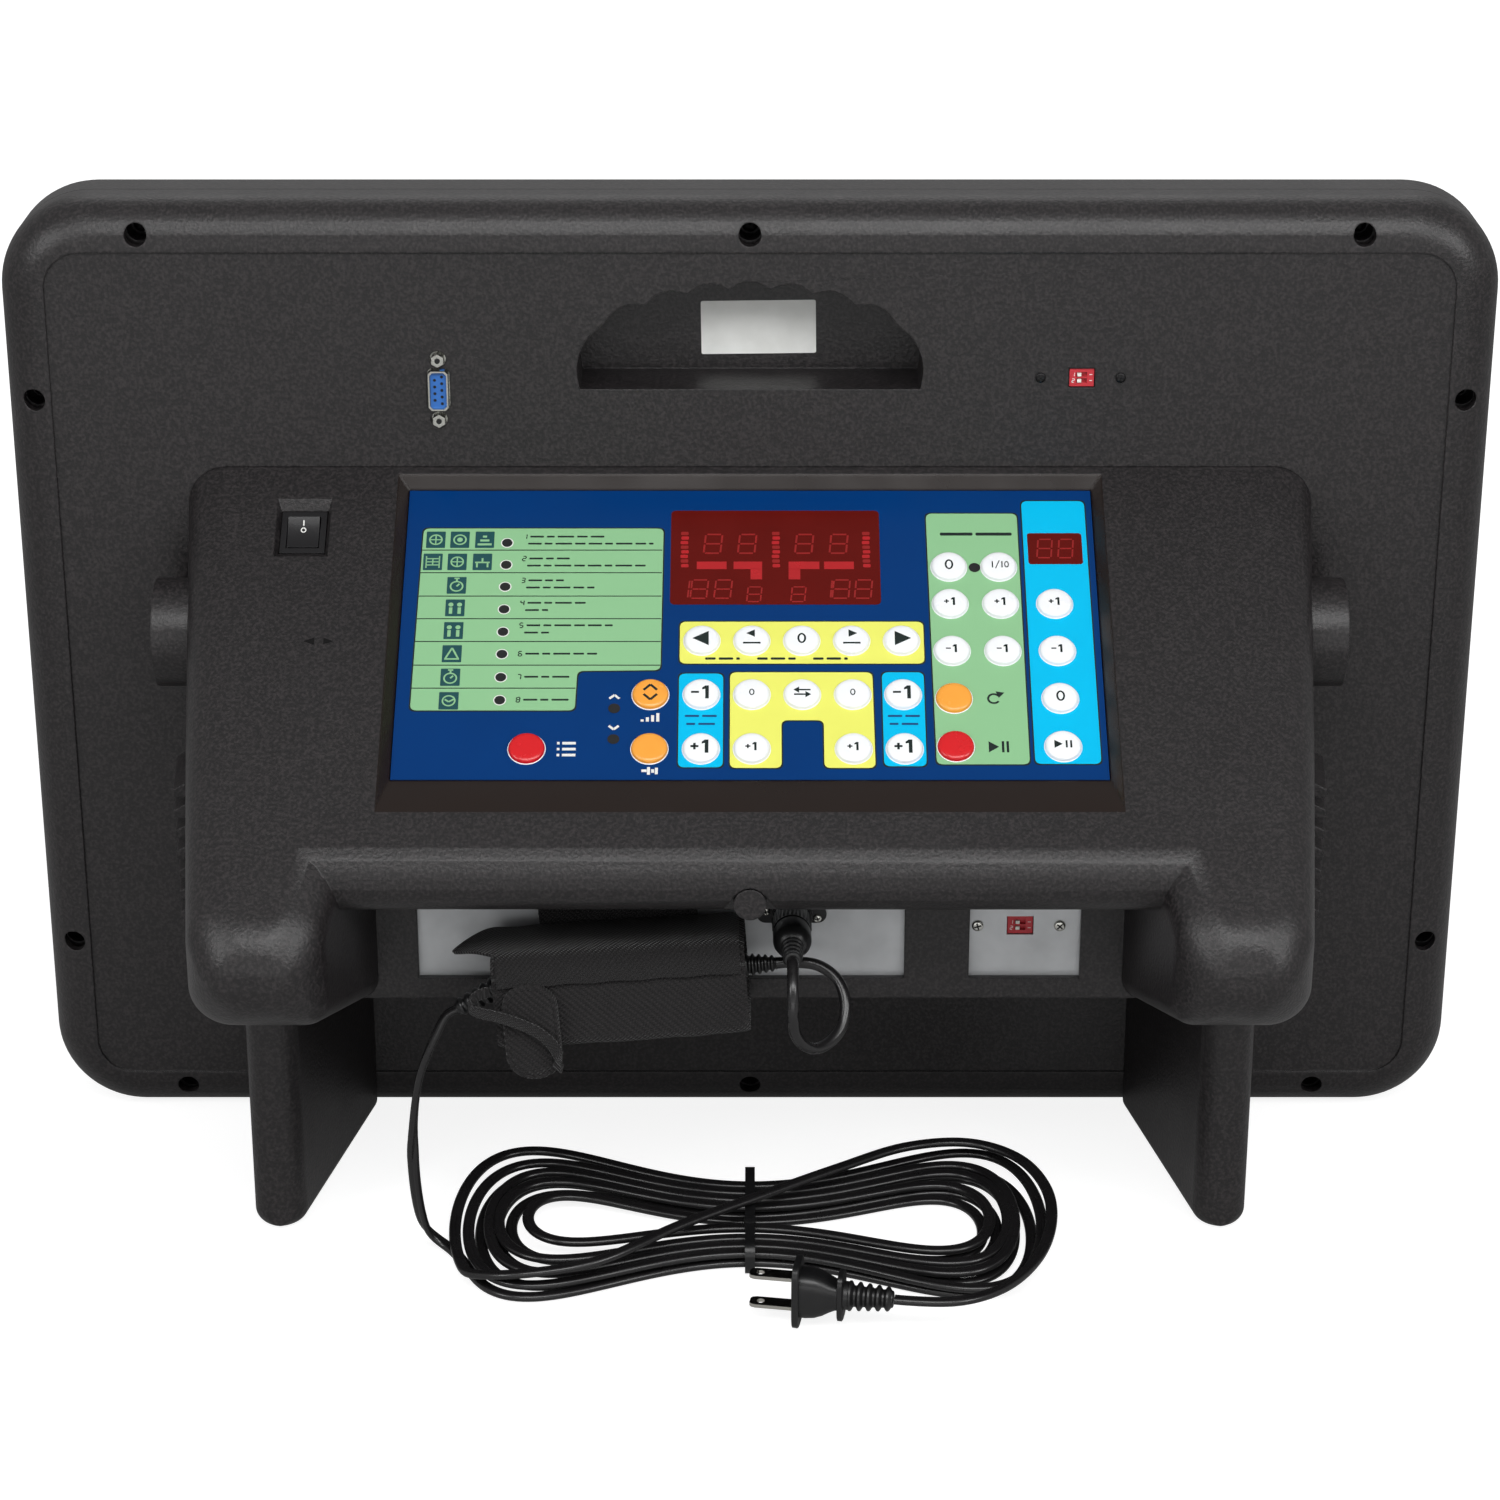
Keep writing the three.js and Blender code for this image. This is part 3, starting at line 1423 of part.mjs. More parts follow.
// Tie: band round the waist of the hank
function makeTie() {
  const outermost = hankWaist + hankWaistPitch * (hankLoopCount / hankLayerCount + hankNest);
  const half = outermost + mainsDiameter / 2 + 2 * gap;
  const low = hankFloorGap / 4;
  const high = mainsDiameter + hankFloorGap + hankLayerPitch * (hankLayerCount - 1) + gap;
  const outer = new THREE.Shape();
  outer.moveTo(-half - tieThickness, low);
  outer.lineTo(half + tieThickness, low);
  outer.lineTo(half + tieThickness, high + tieThickness);
  outer.lineTo(-half - tieThickness, high + tieThickness);
  outer.closePath();
  const hole = new THREE.Path();
  hole.moveTo(-half, hankFloorGap * 0.75);
  hole.lineTo(-half, high);
  hole.lineTo(half, high);
  hole.lineTo(half, hankFloorGap * 0.75);
  hole.closePath();
  outer.holes.push(hole);
  return extrudeX(outer, -tieWidth / 2, tieWidth / 2).translate(0, -hankReach, 0);
}

// Mains plug: two-blade plug on its edge, with its relief along +X
function makeMainsPlug() {
  const body = new THREE.BoxGeometry(plugBodyLength, plugBodyWidth, plugBodyHeight);
  const face = new THREE.BoxGeometry(plugFaceThickness, plugFaceWidth, plugFaceHeight);
  face.translate(-(plugBodyLength + plugFaceThickness) / 2 + gap, 0, 0);
  const profile = [
    new THREE.Vector2(0, -overrun),
    new THREE.Vector2(plugReliefBase / 2, -overrun),
    new THREE.Vector2(plugReliefTip / 2, plugReliefLength),
    new THREE.Vector2(0, plugReliefLength),
  ];
  const boot = mergeVertices(new THREE.LatheGeometry(profile, cordSideCount)).rotateZ(-Math.PI / 2);
  boot.translate(plugBodyLength / 2, 0, 0);
  let plug = join(solid(body), solid(face), solid(boot));
  for (const side of [-1, 1]) {
    plug = plug.add(block(
      bladeLength + overrun,
      bladeThickness,
      bladeHeight,
      -plugBodyLength / 2 - plugFaceThickness - bladeLength / 2 + overrun / 2,
      0,
      (side * bladeSpacing) / 2,
    ));
  }
  return plug;
}

// Horn: magnet and bell behind the louvres of the left wall
function makeHorn() {
  const profile = [
    new THREE.Vector2(0, 0),
    new THREE.Vector2(hornMagnetDiameter / 2, 0),
    new THREE.Vector2(hornMagnetDiameter / 2, hornMagnetDepth),
    new THREE.Vector2(hornDiameter / 2, hornDepth),
    new THREE.Vector2(hornDiameter / 2, hornDepth + wall),
    new THREE.Vector2(0, hornDepth + wall),
  ];
  const horn = mergeVertices(new THREE.LatheGeometry(profile, roundStepCount));
  return outward(horn.rotateZ(Math.PI / 2));
}

// Case
addPart('front_bezel', surface(makeFrontBezel()), housingBlack);
addPart('display_lens', makeLens(), lensSmoke);
addPart('display_board', surface(makeDisplayBoard()), boardGreen);
addPart('rear_cover', surface(makeRearCover()), housingBlack);

// Console and legs
addPart('console_shell', surface(makeConsoleShell()), housingBlack);
addPart('leg_left', surface(makeLeg(-1)), housingBlack);
addPart('leg_right', surface(makeLeg(1)), housingBlack);
const horn = addPart('horn_speaker', makeHorn(), switchBlack);
horn.rotation.z = rad(sideDraft);
const hornReach = louvreReach - louvreLength / 2;
const hornLength = hornDepth + wall;
horn.position.set(
  hornLength * Math.cos(rad(sideDraft)) - sideAt(hornReach, wall + gap),
  hornLength * Math.sin(rad(sideDraft)) - hornReach,
  hornHeight,
);

// Keypad
addPart('keypad_panel', surface(makeKeypadPanel()), overlayBlue, deck);
for (const [name, column, row, material] of keys) {
  addPart(name, makeKey(), material, deck).position.set(column, -row, 0);
}
addPart('keypad_board', surface(makeKeypadBoard()), boardGreen, deck);

// Power rocker
addPart('rocker_frame', surface(makeRockerFrame()), switchBlack, deck);
const rocker = addPart('rocker_key', makeRockerKey(), switchBlack, deck);
rocker.position.set(rockerColumn, -rockerRow, -rockerRecessDepth - rockerPivotDepth);
rocker.rotation.x = rad(rockerSwing / 2);

// Service plates and switches
const socketHole = rodY(
  socketBarrelDiameter + 2 * gap,
  plateFront - overrun,
  plateFront + plateThickness + overrun,
  socketColumn,
  socketHeight,
);
const socketPlate = makePlate(socketWindowLeft, socketWindowRight).subtract(socketHole);
addPart('socket_plate', surface(socketPlate), zincPlate);
const dipHole = block(
  dipWidth + 2 * gap,
  plateThickness + 2 * overrun,
  dipHeight + 2 * gap,
  lowerDipColumn,
  plateFront,
  lowerDipHeight,
);
addPart('dip_plate', surface(makePlate(dipWindowLeft, dipWindowRight).subtract(dipHole)), zincPlate);
const switches = [
  ['upper', upperDipColumn, upperDipHeight, dipSink],
  ['lower', lowerDipColumn, lowerDipHeight, plateFront + dipSink],
];
for (const [place, column, height, face] of switches) {
  addPart(`${place}_dip_body`, surface(makeDipBody(column, height, face)), dipRed);
  for (const side of [1, -1]) {
    const lever = makeLever(column, height + (side * leverPitch) / 2, face);
    addPart(`${place}_dip_lever_${side > 0 ? 1 : 2}`, surface(lever), leverWhite);
  }
}

// Ports
addPart('data_port', surface(makeDataPort()), chromedSteel);
addPart('power_socket', surface(makePowerSocket()), chromedSteel);
addPart('dc_plug', makeDcPlug(), cordBlack);

// Adapter in its pouch
addPart('power_adapter', surface(makeAdapter()), cordBlack, pouch);
addPart('adapter_pouch', surface(makePouch()), nylonBlack, pouch);

// Low-voltage lead from the adapter to its plug
const tilt = rad(pouchTilt);
const pouchReach = wallReach + gap + pouchDepth / 2;
const dcTip = adapterLength / 2 + dcReliefLength + gap;
const dcStart = [
  pouchCentre + dcTip * Math.cos(tilt),
  pouchReach,
  pouchCentreHeight + dcTip * Math.sin(tilt),
];
const dcEnd = [socketColumn, gap - dcPlugEnd, socketHeight];
const dcRoute = route(
  dcStart,
  [dcStart[0] + dcDiameter, dcStart[1], dcStart[2] + dcDiameter * Math.sin(tilt)],
  [26, 129, 131.5],
  [33.5, 133, 127.5],
  [36.8, 139, 121],
  [35.6, 145, 113.5],
  [31, 151, 109.5],
  [25, 157, 109.5],
  [20, 161, 113.5],
  [17.2, 163.3, 119],
  [16.4, 164.3, 124.5],
  [16.3, 164, 130],
  [16.3, 161.4, 137],
  [16.3, 156.5, 141],
  [dcEnd[0], dcEnd[1] + dcDiameter / 2, dcEnd[2]],
  dcEnd,
);
addPart('dc_lead', tube(dcRoute, dcDiameter, 34), cordBlack);

// Mains lead from the adapter down to the hank
const droop = tilt + rad(mainsReliefDroop);
const mainsTip = reliefLength + gap;
const mainsStart = [
  pouchCentre - (adapterLength / 2) * Math.cos(tilt) - mainsTip * Math.cos(droop),
  pouchReach,
  pouchCentreHeight - (adapterLength / 2) * Math.sin(tilt) - mainsTip * Math.sin(droop),
];
const hankIn = hankPoint(0);
const hankInNext = hankPoint(1 / loopStepCount);
const hankInWay = hankInNext.clone().sub(hankIn).normalize();
const mainsEnd = hankIn.clone().addScaledVector(hankInWay, -gap);
const mainsEndBefore = hankIn.clone().addScaledVector(hankInWay, -gap - mainsDiameter);
const mainsRoute = [
  ...route(
    mainsStart,
    [
      mainsStart[0] - mainsDiameter * Math.cos(droop),
      mainsStart[1],
      mainsStart[2] - mainsDiameter * Math.sin(droop),
    ],
    [-124.3, 130, 98],
    [-129.5, 130, 84],
    [-132.3, 130, 67],
    [-133.4, 129.5, 50],
    [-133, 128, 34],
    [-132, 124, 20],
    [-130, 120, 9.5],
    [-125.5, 119, 4],
    [-119.5, 124, 2.9],
  ),
  mainsEndBefore,
  mainsEnd,
];
addPart('mains_lead', tube(mainsRoute, mainsDiameter, 20), cordBlack);
addPart('mains_hank', makeHank(), cordBlack);
addPart('hank_tie', makeTie(), cordBlack);

// Plug and the tail that leads to it
const plug = addPart('mains_plug', surface(makeMainsPlug()), cordBlack);
plug.position.set(plugX, -plugReach, plugFaceHeight / 2 + gap);
plug.rotation.z = rad(-plugTurn);
const plugTip = plugBodyLength / 2 + plugReliefLength + gap;
const plugWay = [Math.cos(rad(plugTurn)), Math.sin(rad(plugTurn))];
const tailEnd = [plugX + plugTip * plugWay[0], plugReach + plugTip * plugWay[1], plugFaceHeight / 2 + gap];
const hankOut = hankPoint(hankLoopCount);
const hankOutWay = hankOut.clone().sub(hankPoint(hankLoopCount - 1 / loopStepCount)).normalize();
const tailRoute = [
  hankOut.clone().addScaledVector(hankOutWay, gap),
  hankOut.clone().addScaledVector(hankOutWay, gap + mainsDiameter),
  ...route(
    [-94, 160, 13],
    [-62, 155, 15],
    [-28, 128, 16],
    [4, 104, 16],
    [36, 80, 15.5],
    [66, 60, 15],
    [92, 56, 14.5],
    [111, 68, 14],
    [121, 92, 13],
    [121, 120, 12],
    [113, 148, 11.5],
    [98, 171, 12],
    [80, 182.5, 13.2],
    [tailEnd[0] + mainsDiameter * plugWay[0], tailEnd[1] + mainsDiameter * plugWay[1], tailEnd[2]],
    tailEnd,
  ),
];
addPart('mains_tail', tube(tailRoute, mainsDiameter, 40), cordBlack);

export default model;
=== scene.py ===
import json
import math
import bmesh
import bpy
import numpy as np
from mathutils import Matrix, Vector
from mathutils.bvhtree import BVHTree
from mathutils.geometry import tessellate_polygon

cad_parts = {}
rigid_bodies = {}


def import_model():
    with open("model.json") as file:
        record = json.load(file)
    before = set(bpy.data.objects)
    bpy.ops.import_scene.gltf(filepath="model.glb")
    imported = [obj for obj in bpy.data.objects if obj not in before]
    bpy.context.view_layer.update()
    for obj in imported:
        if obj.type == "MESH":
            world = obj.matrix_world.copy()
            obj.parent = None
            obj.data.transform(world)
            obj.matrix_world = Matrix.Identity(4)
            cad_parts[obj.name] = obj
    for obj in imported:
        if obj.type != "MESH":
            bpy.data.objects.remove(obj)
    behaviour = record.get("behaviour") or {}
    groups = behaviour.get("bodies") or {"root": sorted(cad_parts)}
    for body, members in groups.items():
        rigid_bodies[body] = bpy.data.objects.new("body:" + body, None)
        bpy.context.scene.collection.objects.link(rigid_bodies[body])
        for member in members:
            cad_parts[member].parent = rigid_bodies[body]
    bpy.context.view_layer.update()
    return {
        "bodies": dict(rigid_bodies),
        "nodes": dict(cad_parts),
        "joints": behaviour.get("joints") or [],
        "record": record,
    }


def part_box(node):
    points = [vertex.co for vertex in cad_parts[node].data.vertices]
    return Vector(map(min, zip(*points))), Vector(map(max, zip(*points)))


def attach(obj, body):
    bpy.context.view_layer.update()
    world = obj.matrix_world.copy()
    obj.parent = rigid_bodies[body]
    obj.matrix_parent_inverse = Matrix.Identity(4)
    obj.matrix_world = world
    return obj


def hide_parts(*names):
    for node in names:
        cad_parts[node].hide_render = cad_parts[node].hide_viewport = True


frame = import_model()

print("frame loaded:", len(frame["nodes"]), "nodes")

# Where the case and the deck stand, in millimetres and degrees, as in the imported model
place = {"caseShift": 75.822, "deckTop": 292.4, "deckSlope": 31.7}
slopeSin = math.sin(math.radians(place["deckSlope"]))
slopeCos = math.cos(math.radians(place["deckSlope"]))


def onCase(points):
    # (x, reach behind the rear face, height) in mm to metres: y = shift - reach
    p = np.asarray(points, float)
    return np.stack([p[..., 0], place["caseShift"] - p[..., 1], p[..., 2]], -1) / 1000


def onDeck(points):
    # (x, row down the slope, height off the deck) in mm to metres: a turn by the slope about X
    p = np.asarray(points, float)
    y = -p[..., 1] * slopeCos - p[..., 2] * slopeSin + place["caseShift"]
    z = place["deckTop"] - p[..., 1] * slopeSin + p[..., 2] * slopeCos
    return np.stack([p[..., 0], y, z], -1) / 1000


def deckPlaceOf(node):
    # column and row of a node on the deck: its box centre turned back by the slope
    low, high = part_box(node)
    x, y, z = [(a + b) * 500 for a, b in zip(low, high)]
    y, z = y - place["caseShift"], z - place["deckTop"]
    return x, -(y * slopeCos + z * slopeSin)


def plane(x, reach, z, spin=0.0, away=1):
    # how (across, up, out) in mm lies about a point of an upright face, turned in it by spin radians
    def lay(points):
        p = np.asarray(points, float)
        cosine, sine = math.cos(spin), math.sin(spin)
        return onCase(np.stack([x + p[..., 0] * cosine - p[..., 1] * sine, reach + away * p[..., 2],
                                z + p[..., 0] * sine + p[..., 1] * cosine], -1))
    return lay


def gridFaces(rows, columns, wrap=False):
    # quads between neighbours of a grid, row by row; wrap joins the last column to the first
    i = np.arange(rows - 1)[:, None] * columns
    j = np.arange(columns if wrap else columns - 1)[None, :]
    after = (j + 1) % columns
    return np.stack([i + j, i + after, i + columns + after, i + columns + j], -1).reshape(-1, 4)


def skin(points, poles=(None, None)):
    # closed skin over rings of points, each end closed by a fan to its pole or to the ring's mean
    rings, around = points.shape[:2]
    faces = gridFaces(rings, around, wrap=True).tolist()
    ends = [ring.mean(0) if pole is None else pole for ring, pole in zip((points[0], points[-1]), poles)]
    k = np.arange(around)
    first, last = rings * around, rings * around + 1
    faces += np.stack([np.full(around, first), (k + 1) % around, k], -1).tolist()
    base = (rings - 1) * around
    faces += np.stack([np.full(around, last), base + k, base + (k + 1) % around], -1).tolist()
    return outward(np.vstack([points.reshape(-1, 3), ends]), faces)


def outward(points, faces):
    # signed volume is the sum of each fan triangle's triple product; a negative one turns all faces
    volume = 0.0
    for size in {len(f) for f in faces}:
        group = np.array([f for f in faces if len(f) == size])
        a = points[group[:, 0]]
        for k in range(1, size - 1):
            volume += np.einsum("ij,ij->", a, np.cross(points[group[:, k]], points[group[:, k + 1]]))
    return points, ([f[::-1] for f in faces] if volume < 0 else faces)


def turned(origin, axis, profile, steps=48):
    # profile of (radius, distance) carried round an axis through the origin, in mm
    axis = np.asarray(axis, float) / np.linalg.norm(axis)
    side = np.cross(axis, [0, 0, 1] if abs(axis[2]) < 0.9 else [1, 0, 0])
    side /= np.linalg.norm(side)
    other = np.cross(axis, side)
    prof = np.asarray(profile, float)
    poles = [np.asarray(origin) + axis * h if r == 0 else None for r, h in (prof[0], prof[-1])]
    rings = prof[prof[:, 0] > 0]
    angle = np.linspace(0, 2 * math.pi, steps, endpoint=False)
    circle = np.cos(angle)[:, None] * side + np.sin(angle)[:, None] * other
    points = np.asarray(origin) + rings[:, None, 1:] * axis + rings[:, None, :1] * circle[None]
    return skin(points, poles)


def rounded(width, height, radius, steps=6, centre=(0.0, 0.0)):
    # outline of a rectangle whose corners are quarter circles
    a, b = width / 2 - radius, height / 2 - radius
    t = np.linspace(0, math.pi / 2, steps + 1)
    corners = [(a, b, 0), (-a, b, 1), (-a, -b, 2), (a, -b, 3)]
    parts = [np.c_[x + radius * np.cos(t + q * math.pi / 2), y + radius * np.sin(t + q * math.pi / 2)]
             for x, y, q in corners]
    return np.vstack(parts) + np.asarray(centre)


def roundedCorners(outline, radius, steps=5):
    # each corner of a straight outline gives way to a curve between two points set back along its edges
    p = np.asarray(outline, float)
    before, after = np.roll(p, 1, 0), np.roll(p, -1, 0)
    start = p + (before - p) / np.linalg.norm(before - p, axis=1)[:, None] * radius
    end = p + (after - p) / np.linalg.norm(after - p, axis=1)[:, None] * radius
    t = np.linspace(0, 1, steps + 1)[None, :, None]
    curve = (1 - t) ** 2 * start[:, None] + 2 * t * (1 - t) * p[:, None] + t ** 2 * end[:, None]
    return curve.reshape(-1, 2)


def slab(loops, low, high, lay):
    # flat plate from an outline and its holes: both faces filled, and a wall along each loop
    flat = [[(x, y, 0.0) for x, y in loop] for loop in loops]
    triangles = [tuple(t) for t in tessellate_polygon(flat)]
    all2d = np.vstack([np.asarray(loop, float) for loop in loops])
    count = len(all2d)
    points = np.vstack([np.c_[all2d, np.full(count, low)], np.c_[all2d, np.full(count, high)]])
    area = sum(np.cross(all2d[b] - all2d[a], all2d[c] - all2d[a]) for a, b, c in triangles)
    if area < 0:
        triangles = [t[::-1] for t in triangles]
    faces = [tuple(i + count for i in t) for t in triangles] + [t[::-1] for t in triangles]
    start = 0
    for loop in loops:
        n = len(loop)
        ring = np.asarray(loop, float)
        after = np.roll(ring, -1, 0)
        turn = np.sum(ring[:, 0] * after[:, 1] - after[:, 0] * ring[:, 1])
        flip = (turn < 0) != (start > 0)
        for i in range(n):
            a, b = start + i, start + (i + 1) % n
            faces.append((b, a, a + count, b + count) if flip else (a, b, b + count, a + count))
        start += n
    return outward(lay(points), faces)


def makePiece(name, parts, body, slot, materials, smooth=40, uv=None):
    # joins (points, faces, material index) parts into one object that rides on a body
    mesh = bpy.data.meshes.new(name)
    points, faces, index, offset = [], [], [], 0
    for part in parts:
        points.append(part[0])
        faces += [tuple(int(i) + offset for i in f) for f in part[1]]
        index += [part[2] if len(part) > 2 else 0] * len(part[1])
        offset += len(part[0])
    mesh.from_pydata(np.vstack(points).tolist(), [], faces)
    mesh.polygons.foreach_set("material_index", index)
    for material in materials:
        mesh.materials.append(material)
    if uv is not None:
        layer = mesh.uv_layers.new(name="cloth")
        corners = np.zeros(len(mesh.loops), int)
        mesh.loops.foreach_get("vertex_index", corners)
        layer.data.foreach_set("uv", uv[corners].ravel())
    mesh.shade_smooth()
    mesh.set_sharp_from_angle(angle=math.radians(smooth))
    mesh.update()
    piece = bpy.data.objects.new(name, mesh)
    bpy.context.scene.collection.objects.link(piece)
    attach(piece, body)
    return piece


# Angles in degrees: an edge is soft below limit, and one flat runs on below flat; least and most shift in mm
curving = {"merge": 2e-6, "limit": 32.0, "flat": 0.3, "passes": 2, "least": 0.015, "most": 0.9, "same": 0.01}


def joined(faces, meets):
    # the faces in groups in their own order, each joined through edges that meets() allows
    left = set(faces)
    for start in faces:
        group, waiting = [], [start] if start in left else []
        left.discard(start)
        while waiting:
            face = waiting.pop()
            group.append(face)
            for edge in face.edges:
                if meets(edge):
                    others = [other for other in edge.link_faces if other in left]
                    left.difference_update(others)
                    waiting += others
        if group:
            yield group


def cornerNormals(tool, layer):
    # normal of each corner: over the faces that soft edges join, the sum of facet area squared times corner
    # angle times face normal, where a facet is all the faces of one flat
    tool.normal_update()
    bend = {}
    for edge in tool.edges:
        near = [face.normal for face in edge.link_faces]
        bend[edge] = near[0].dot(near[1]) if len(near) == 2 else -1.0
    flat, soft = (math.cos(math.radians(curving[key])) for key in ("flat", "limit"))
    area = {}
    for facet in joined(tool.faces, lambda edge: bend[edge] > flat):
        area.update(dict.fromkeys(facet, sum(face.calc_area() for face in facet)))
    for v in tool.verts:
        loopOf = {loop.face: loop for loop in v.link_loops}
        for group in joined(v.link_faces, lambda edge: v in edge.verts and bend[edge] > soft):
            total = sum((face.normal * area[face] ** 2 * loopOf[face].calc_angle() for face in group),
                        Vector())
            for face in group:
                loopOf[face][layer] = total.normalized()


def curved(tool):
    # an edge is split at the middle of the cubic that is square to the normals at its ends:
    # (a + b) / 2 - (((b - a).m) m - ((b - a).n) n) / 8, summed over both sides of a crease
    layer = tool.loops.layers.float_vector.new("carried")
    cornerNormals(tool, layer)
    for _ in range(curving["passes"]):
        target, chosen = {}, []
        for edge in tool.edges:
            a, b = edge.verts
            run, shift, sides = b.co - a.co, Vector(), []
            for loop in edge.link_loops:
                m, n = loop[layer].normalized(), loop.link_loop_next[layer].normalized()
                if loop.vert is not a:
                    m, n = n, m
                if all((m - p).length + (n - q).length > curving["same"] for p, q in sides):
                    sides.append((m, n))
                    shift -= (run.dot(m) * m - run.dot(n) * n) / 8
            if curving["least"] < shift.length * 1000 < curving["most"]:
                middle = (a.co + b.co) / 2
                target[tuple(round(c, 6) for c in middle)] = middle + shift
                chosen.append(edge)
        made = bmesh.ops.subdivide_edges(tool, edges=chosen, cuts=1, use_grid_fill=True)
        for v in made["geom_inner"]:
            if isinstance(v, bmesh.types.BMVert):
                v.co = target.get(tuple(round(c, 6) for c in v.co), v.co)
        bmesh.ops.triangulate(tool, faces=tool.faces)


def smoothCopy(name, node, slot, materials, chooser=None):
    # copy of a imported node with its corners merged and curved; chooser picks a material by face centre in mm
    mesh = frame["nodes"][node].data.copy()
    mesh.name = name
    tool = bmesh.new()
    tool.from_mesh(mesh)
    bmesh.ops.remove_doubles(tool, verts=tool.verts, dist=curving["merge"])
    curved(tool)
    tool.to_mesh(mesh)
    tool.free()
    mesh.materials.clear()
    for material in materials:
        mesh.materials.append(material)
    if "custom_normal" in mesh.attributes:
        mesh.attributes.remove(mesh.attributes["custom_normal"])
    centres = np.zeros(len(mesh.polygons) * 3)
    mesh.polygons.foreach_get("center", centres)
    index = np.zeros(len(mesh.polygons), int) if chooser is None else chooser(centres.reshape(-1, 3) * 1000)
    mesh.polygons.foreach_set("material_index", index.astype(int))
    mesh.shade_smooth()
    carried = np.zeros(len(mesh.loops) * 3)
    mesh.attributes["carried"].data.foreach_get("vector", carried)
    mesh.attributes.remove(mesh.attributes["carried"])
    carried = carried.reshape(-1, 3)
    mesh.normals_split_custom_set((carried / np.linalg.norm(carried, axis=1, keepdims=True)).tolist())
    piece = bpy.data.objects.new(name, mesh)
    bpy.context.scene.collection.objects.link(piece)
    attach(piece, frame["bodyOf"][node])
    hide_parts(node)
    return piece


frame["bodyOf"] = {node: body for body, nodes in frame["record"]["behaviour"]["bodies"].items()
                   for node in nodes}

# Finishes: each from the real material and how its surface was made, save one near-black of painted shade for
# holes

def linear(hexColour):
    # sRGB hex to linear light: below 0.04045 a straight share, above it a power of 2.4
    s = np.array([int(hexColour[i:i + 2], 16) / 255 for i in (1, 3, 5)])
    return (*np.where(s <= 0.04045, s / 12.92, ((s + 0.055) / 1.055) ** 2.4), 1.0)


def addNode(tree, kind, inputs=None, **settings):
    # one node with its settings; an input is a value or a (node, output) pair
    new = tree.nodes.new(kind)
    for key, value in settings.items():
        setattr(new, key, value)
    for key, value in (inputs or {}).items():
        if isinstance(value, tuple) and isinstance(value[0], bpy.types.Node):
            tree.links.new(value[0].outputs[value[1]], new.inputs[key])
        else:
            new.inputs[key].default_value = value
    return new


def finishOf(name, colour, roughness, metallic=0.0, ior=1.5, grain=None, tone=None, edge=None, speck=None,
             **sockets):
    # grain: (size mm, depth mm), tone: (size mm, second colour, roughness change), edge: softened radius in
    # mm, speck: (size mm, colour) of the lit tops of a moulded grain
    material = bpy.data.materials.new(name)
    material.use_nodes = True
    tree = material.node_tree
    shader = tree.nodes["Principled BSDF"]
    shader.inputs["Base Color"].default_value = linear(colour)
    shader.inputs["Roughness"].default_value = roughness
    shader.inputs["Metallic"].default_value = metallic
    if metallic < 0.5:
        shader.inputs["IOR"].default_value = ior
    for key, value in sockets.items():
        shader.inputs[key.replace("_", " ")].default_value = value
    spot = addNode(tree, "ShaderNodeTexCoord")
    if tone:
        size, second, change = tone
        cloud = addNode(tree, "ShaderNodeTexNoise",
                        {"Vector": (spot, "Object"), "Scale": 1000 / size, "Detail": 5.0})
        mixed = addNode(tree, "ShaderNodeMix",
                        {"Factor": (cloud, "Fac"), "A": linear(colour), "B": linear(second)},
                        data_type="RGBA")
        if speck:
            tops = addNode(tree, "ShaderNodeTexNoise",
                           {"Vector": (spot, "Object"), "Scale": 1000 / speck[0], "Detail": 2.0})
            share = addNode(tree, "ShaderNodeMapRange",
                            {"Value": (tops, "Fac"), "From Min": 0.42, "From Max": 0.68})
            mixed = addNode(tree, "ShaderNodeMix", {"Factor": (share, "Result"), "A": (mixed, "Result"),
                                                    "B": linear(speck[1])}, data_type="RGBA")
        tree.links.new(mixed.outputs["Result"], shader.inputs["Base Color"])
        rough = addNode(tree, "ShaderNodeMapRange",
                        {"Value": (cloud, "Fac"), "From Min": 0.3, "From Max": 0.7,
                         "To Min": roughness - change, "To Max": roughness + change})
        tree.links.new(rough.outputs["Result"], shader.inputs["Roughness"])
    normal = None
    if edge:
        normal = addNode(tree, "ShaderNodeBevel", {"Radius": edge / 1000}, samples=4)
    if grain:
        size, depth = grain
        fine = addNode(tree, "ShaderNodeTexNoise",
                       {"Vector": (spot, "Object"), "Scale": 1000 / size, "Detail": 3.0})
        inputs = {"Height": (fine, "Fac"), "Distance": depth / 1000, "Strength": 1.0}
        if normal:
            inputs["Normal"] = (normal, "Normal")
        normal = addNode(tree, "ShaderNodeBump", inputs)
    if normal:
        tree.links.new(normal.outputs["Normal"], shader.inputs["Normal"])
    return material


cloth = {"roughness": 0.85, "ior": 1.46, "ribs": 2.0, "weft": 3.4, "relief": 0.35, "sheen": 0.15,
         "sheenRough": 0.4}


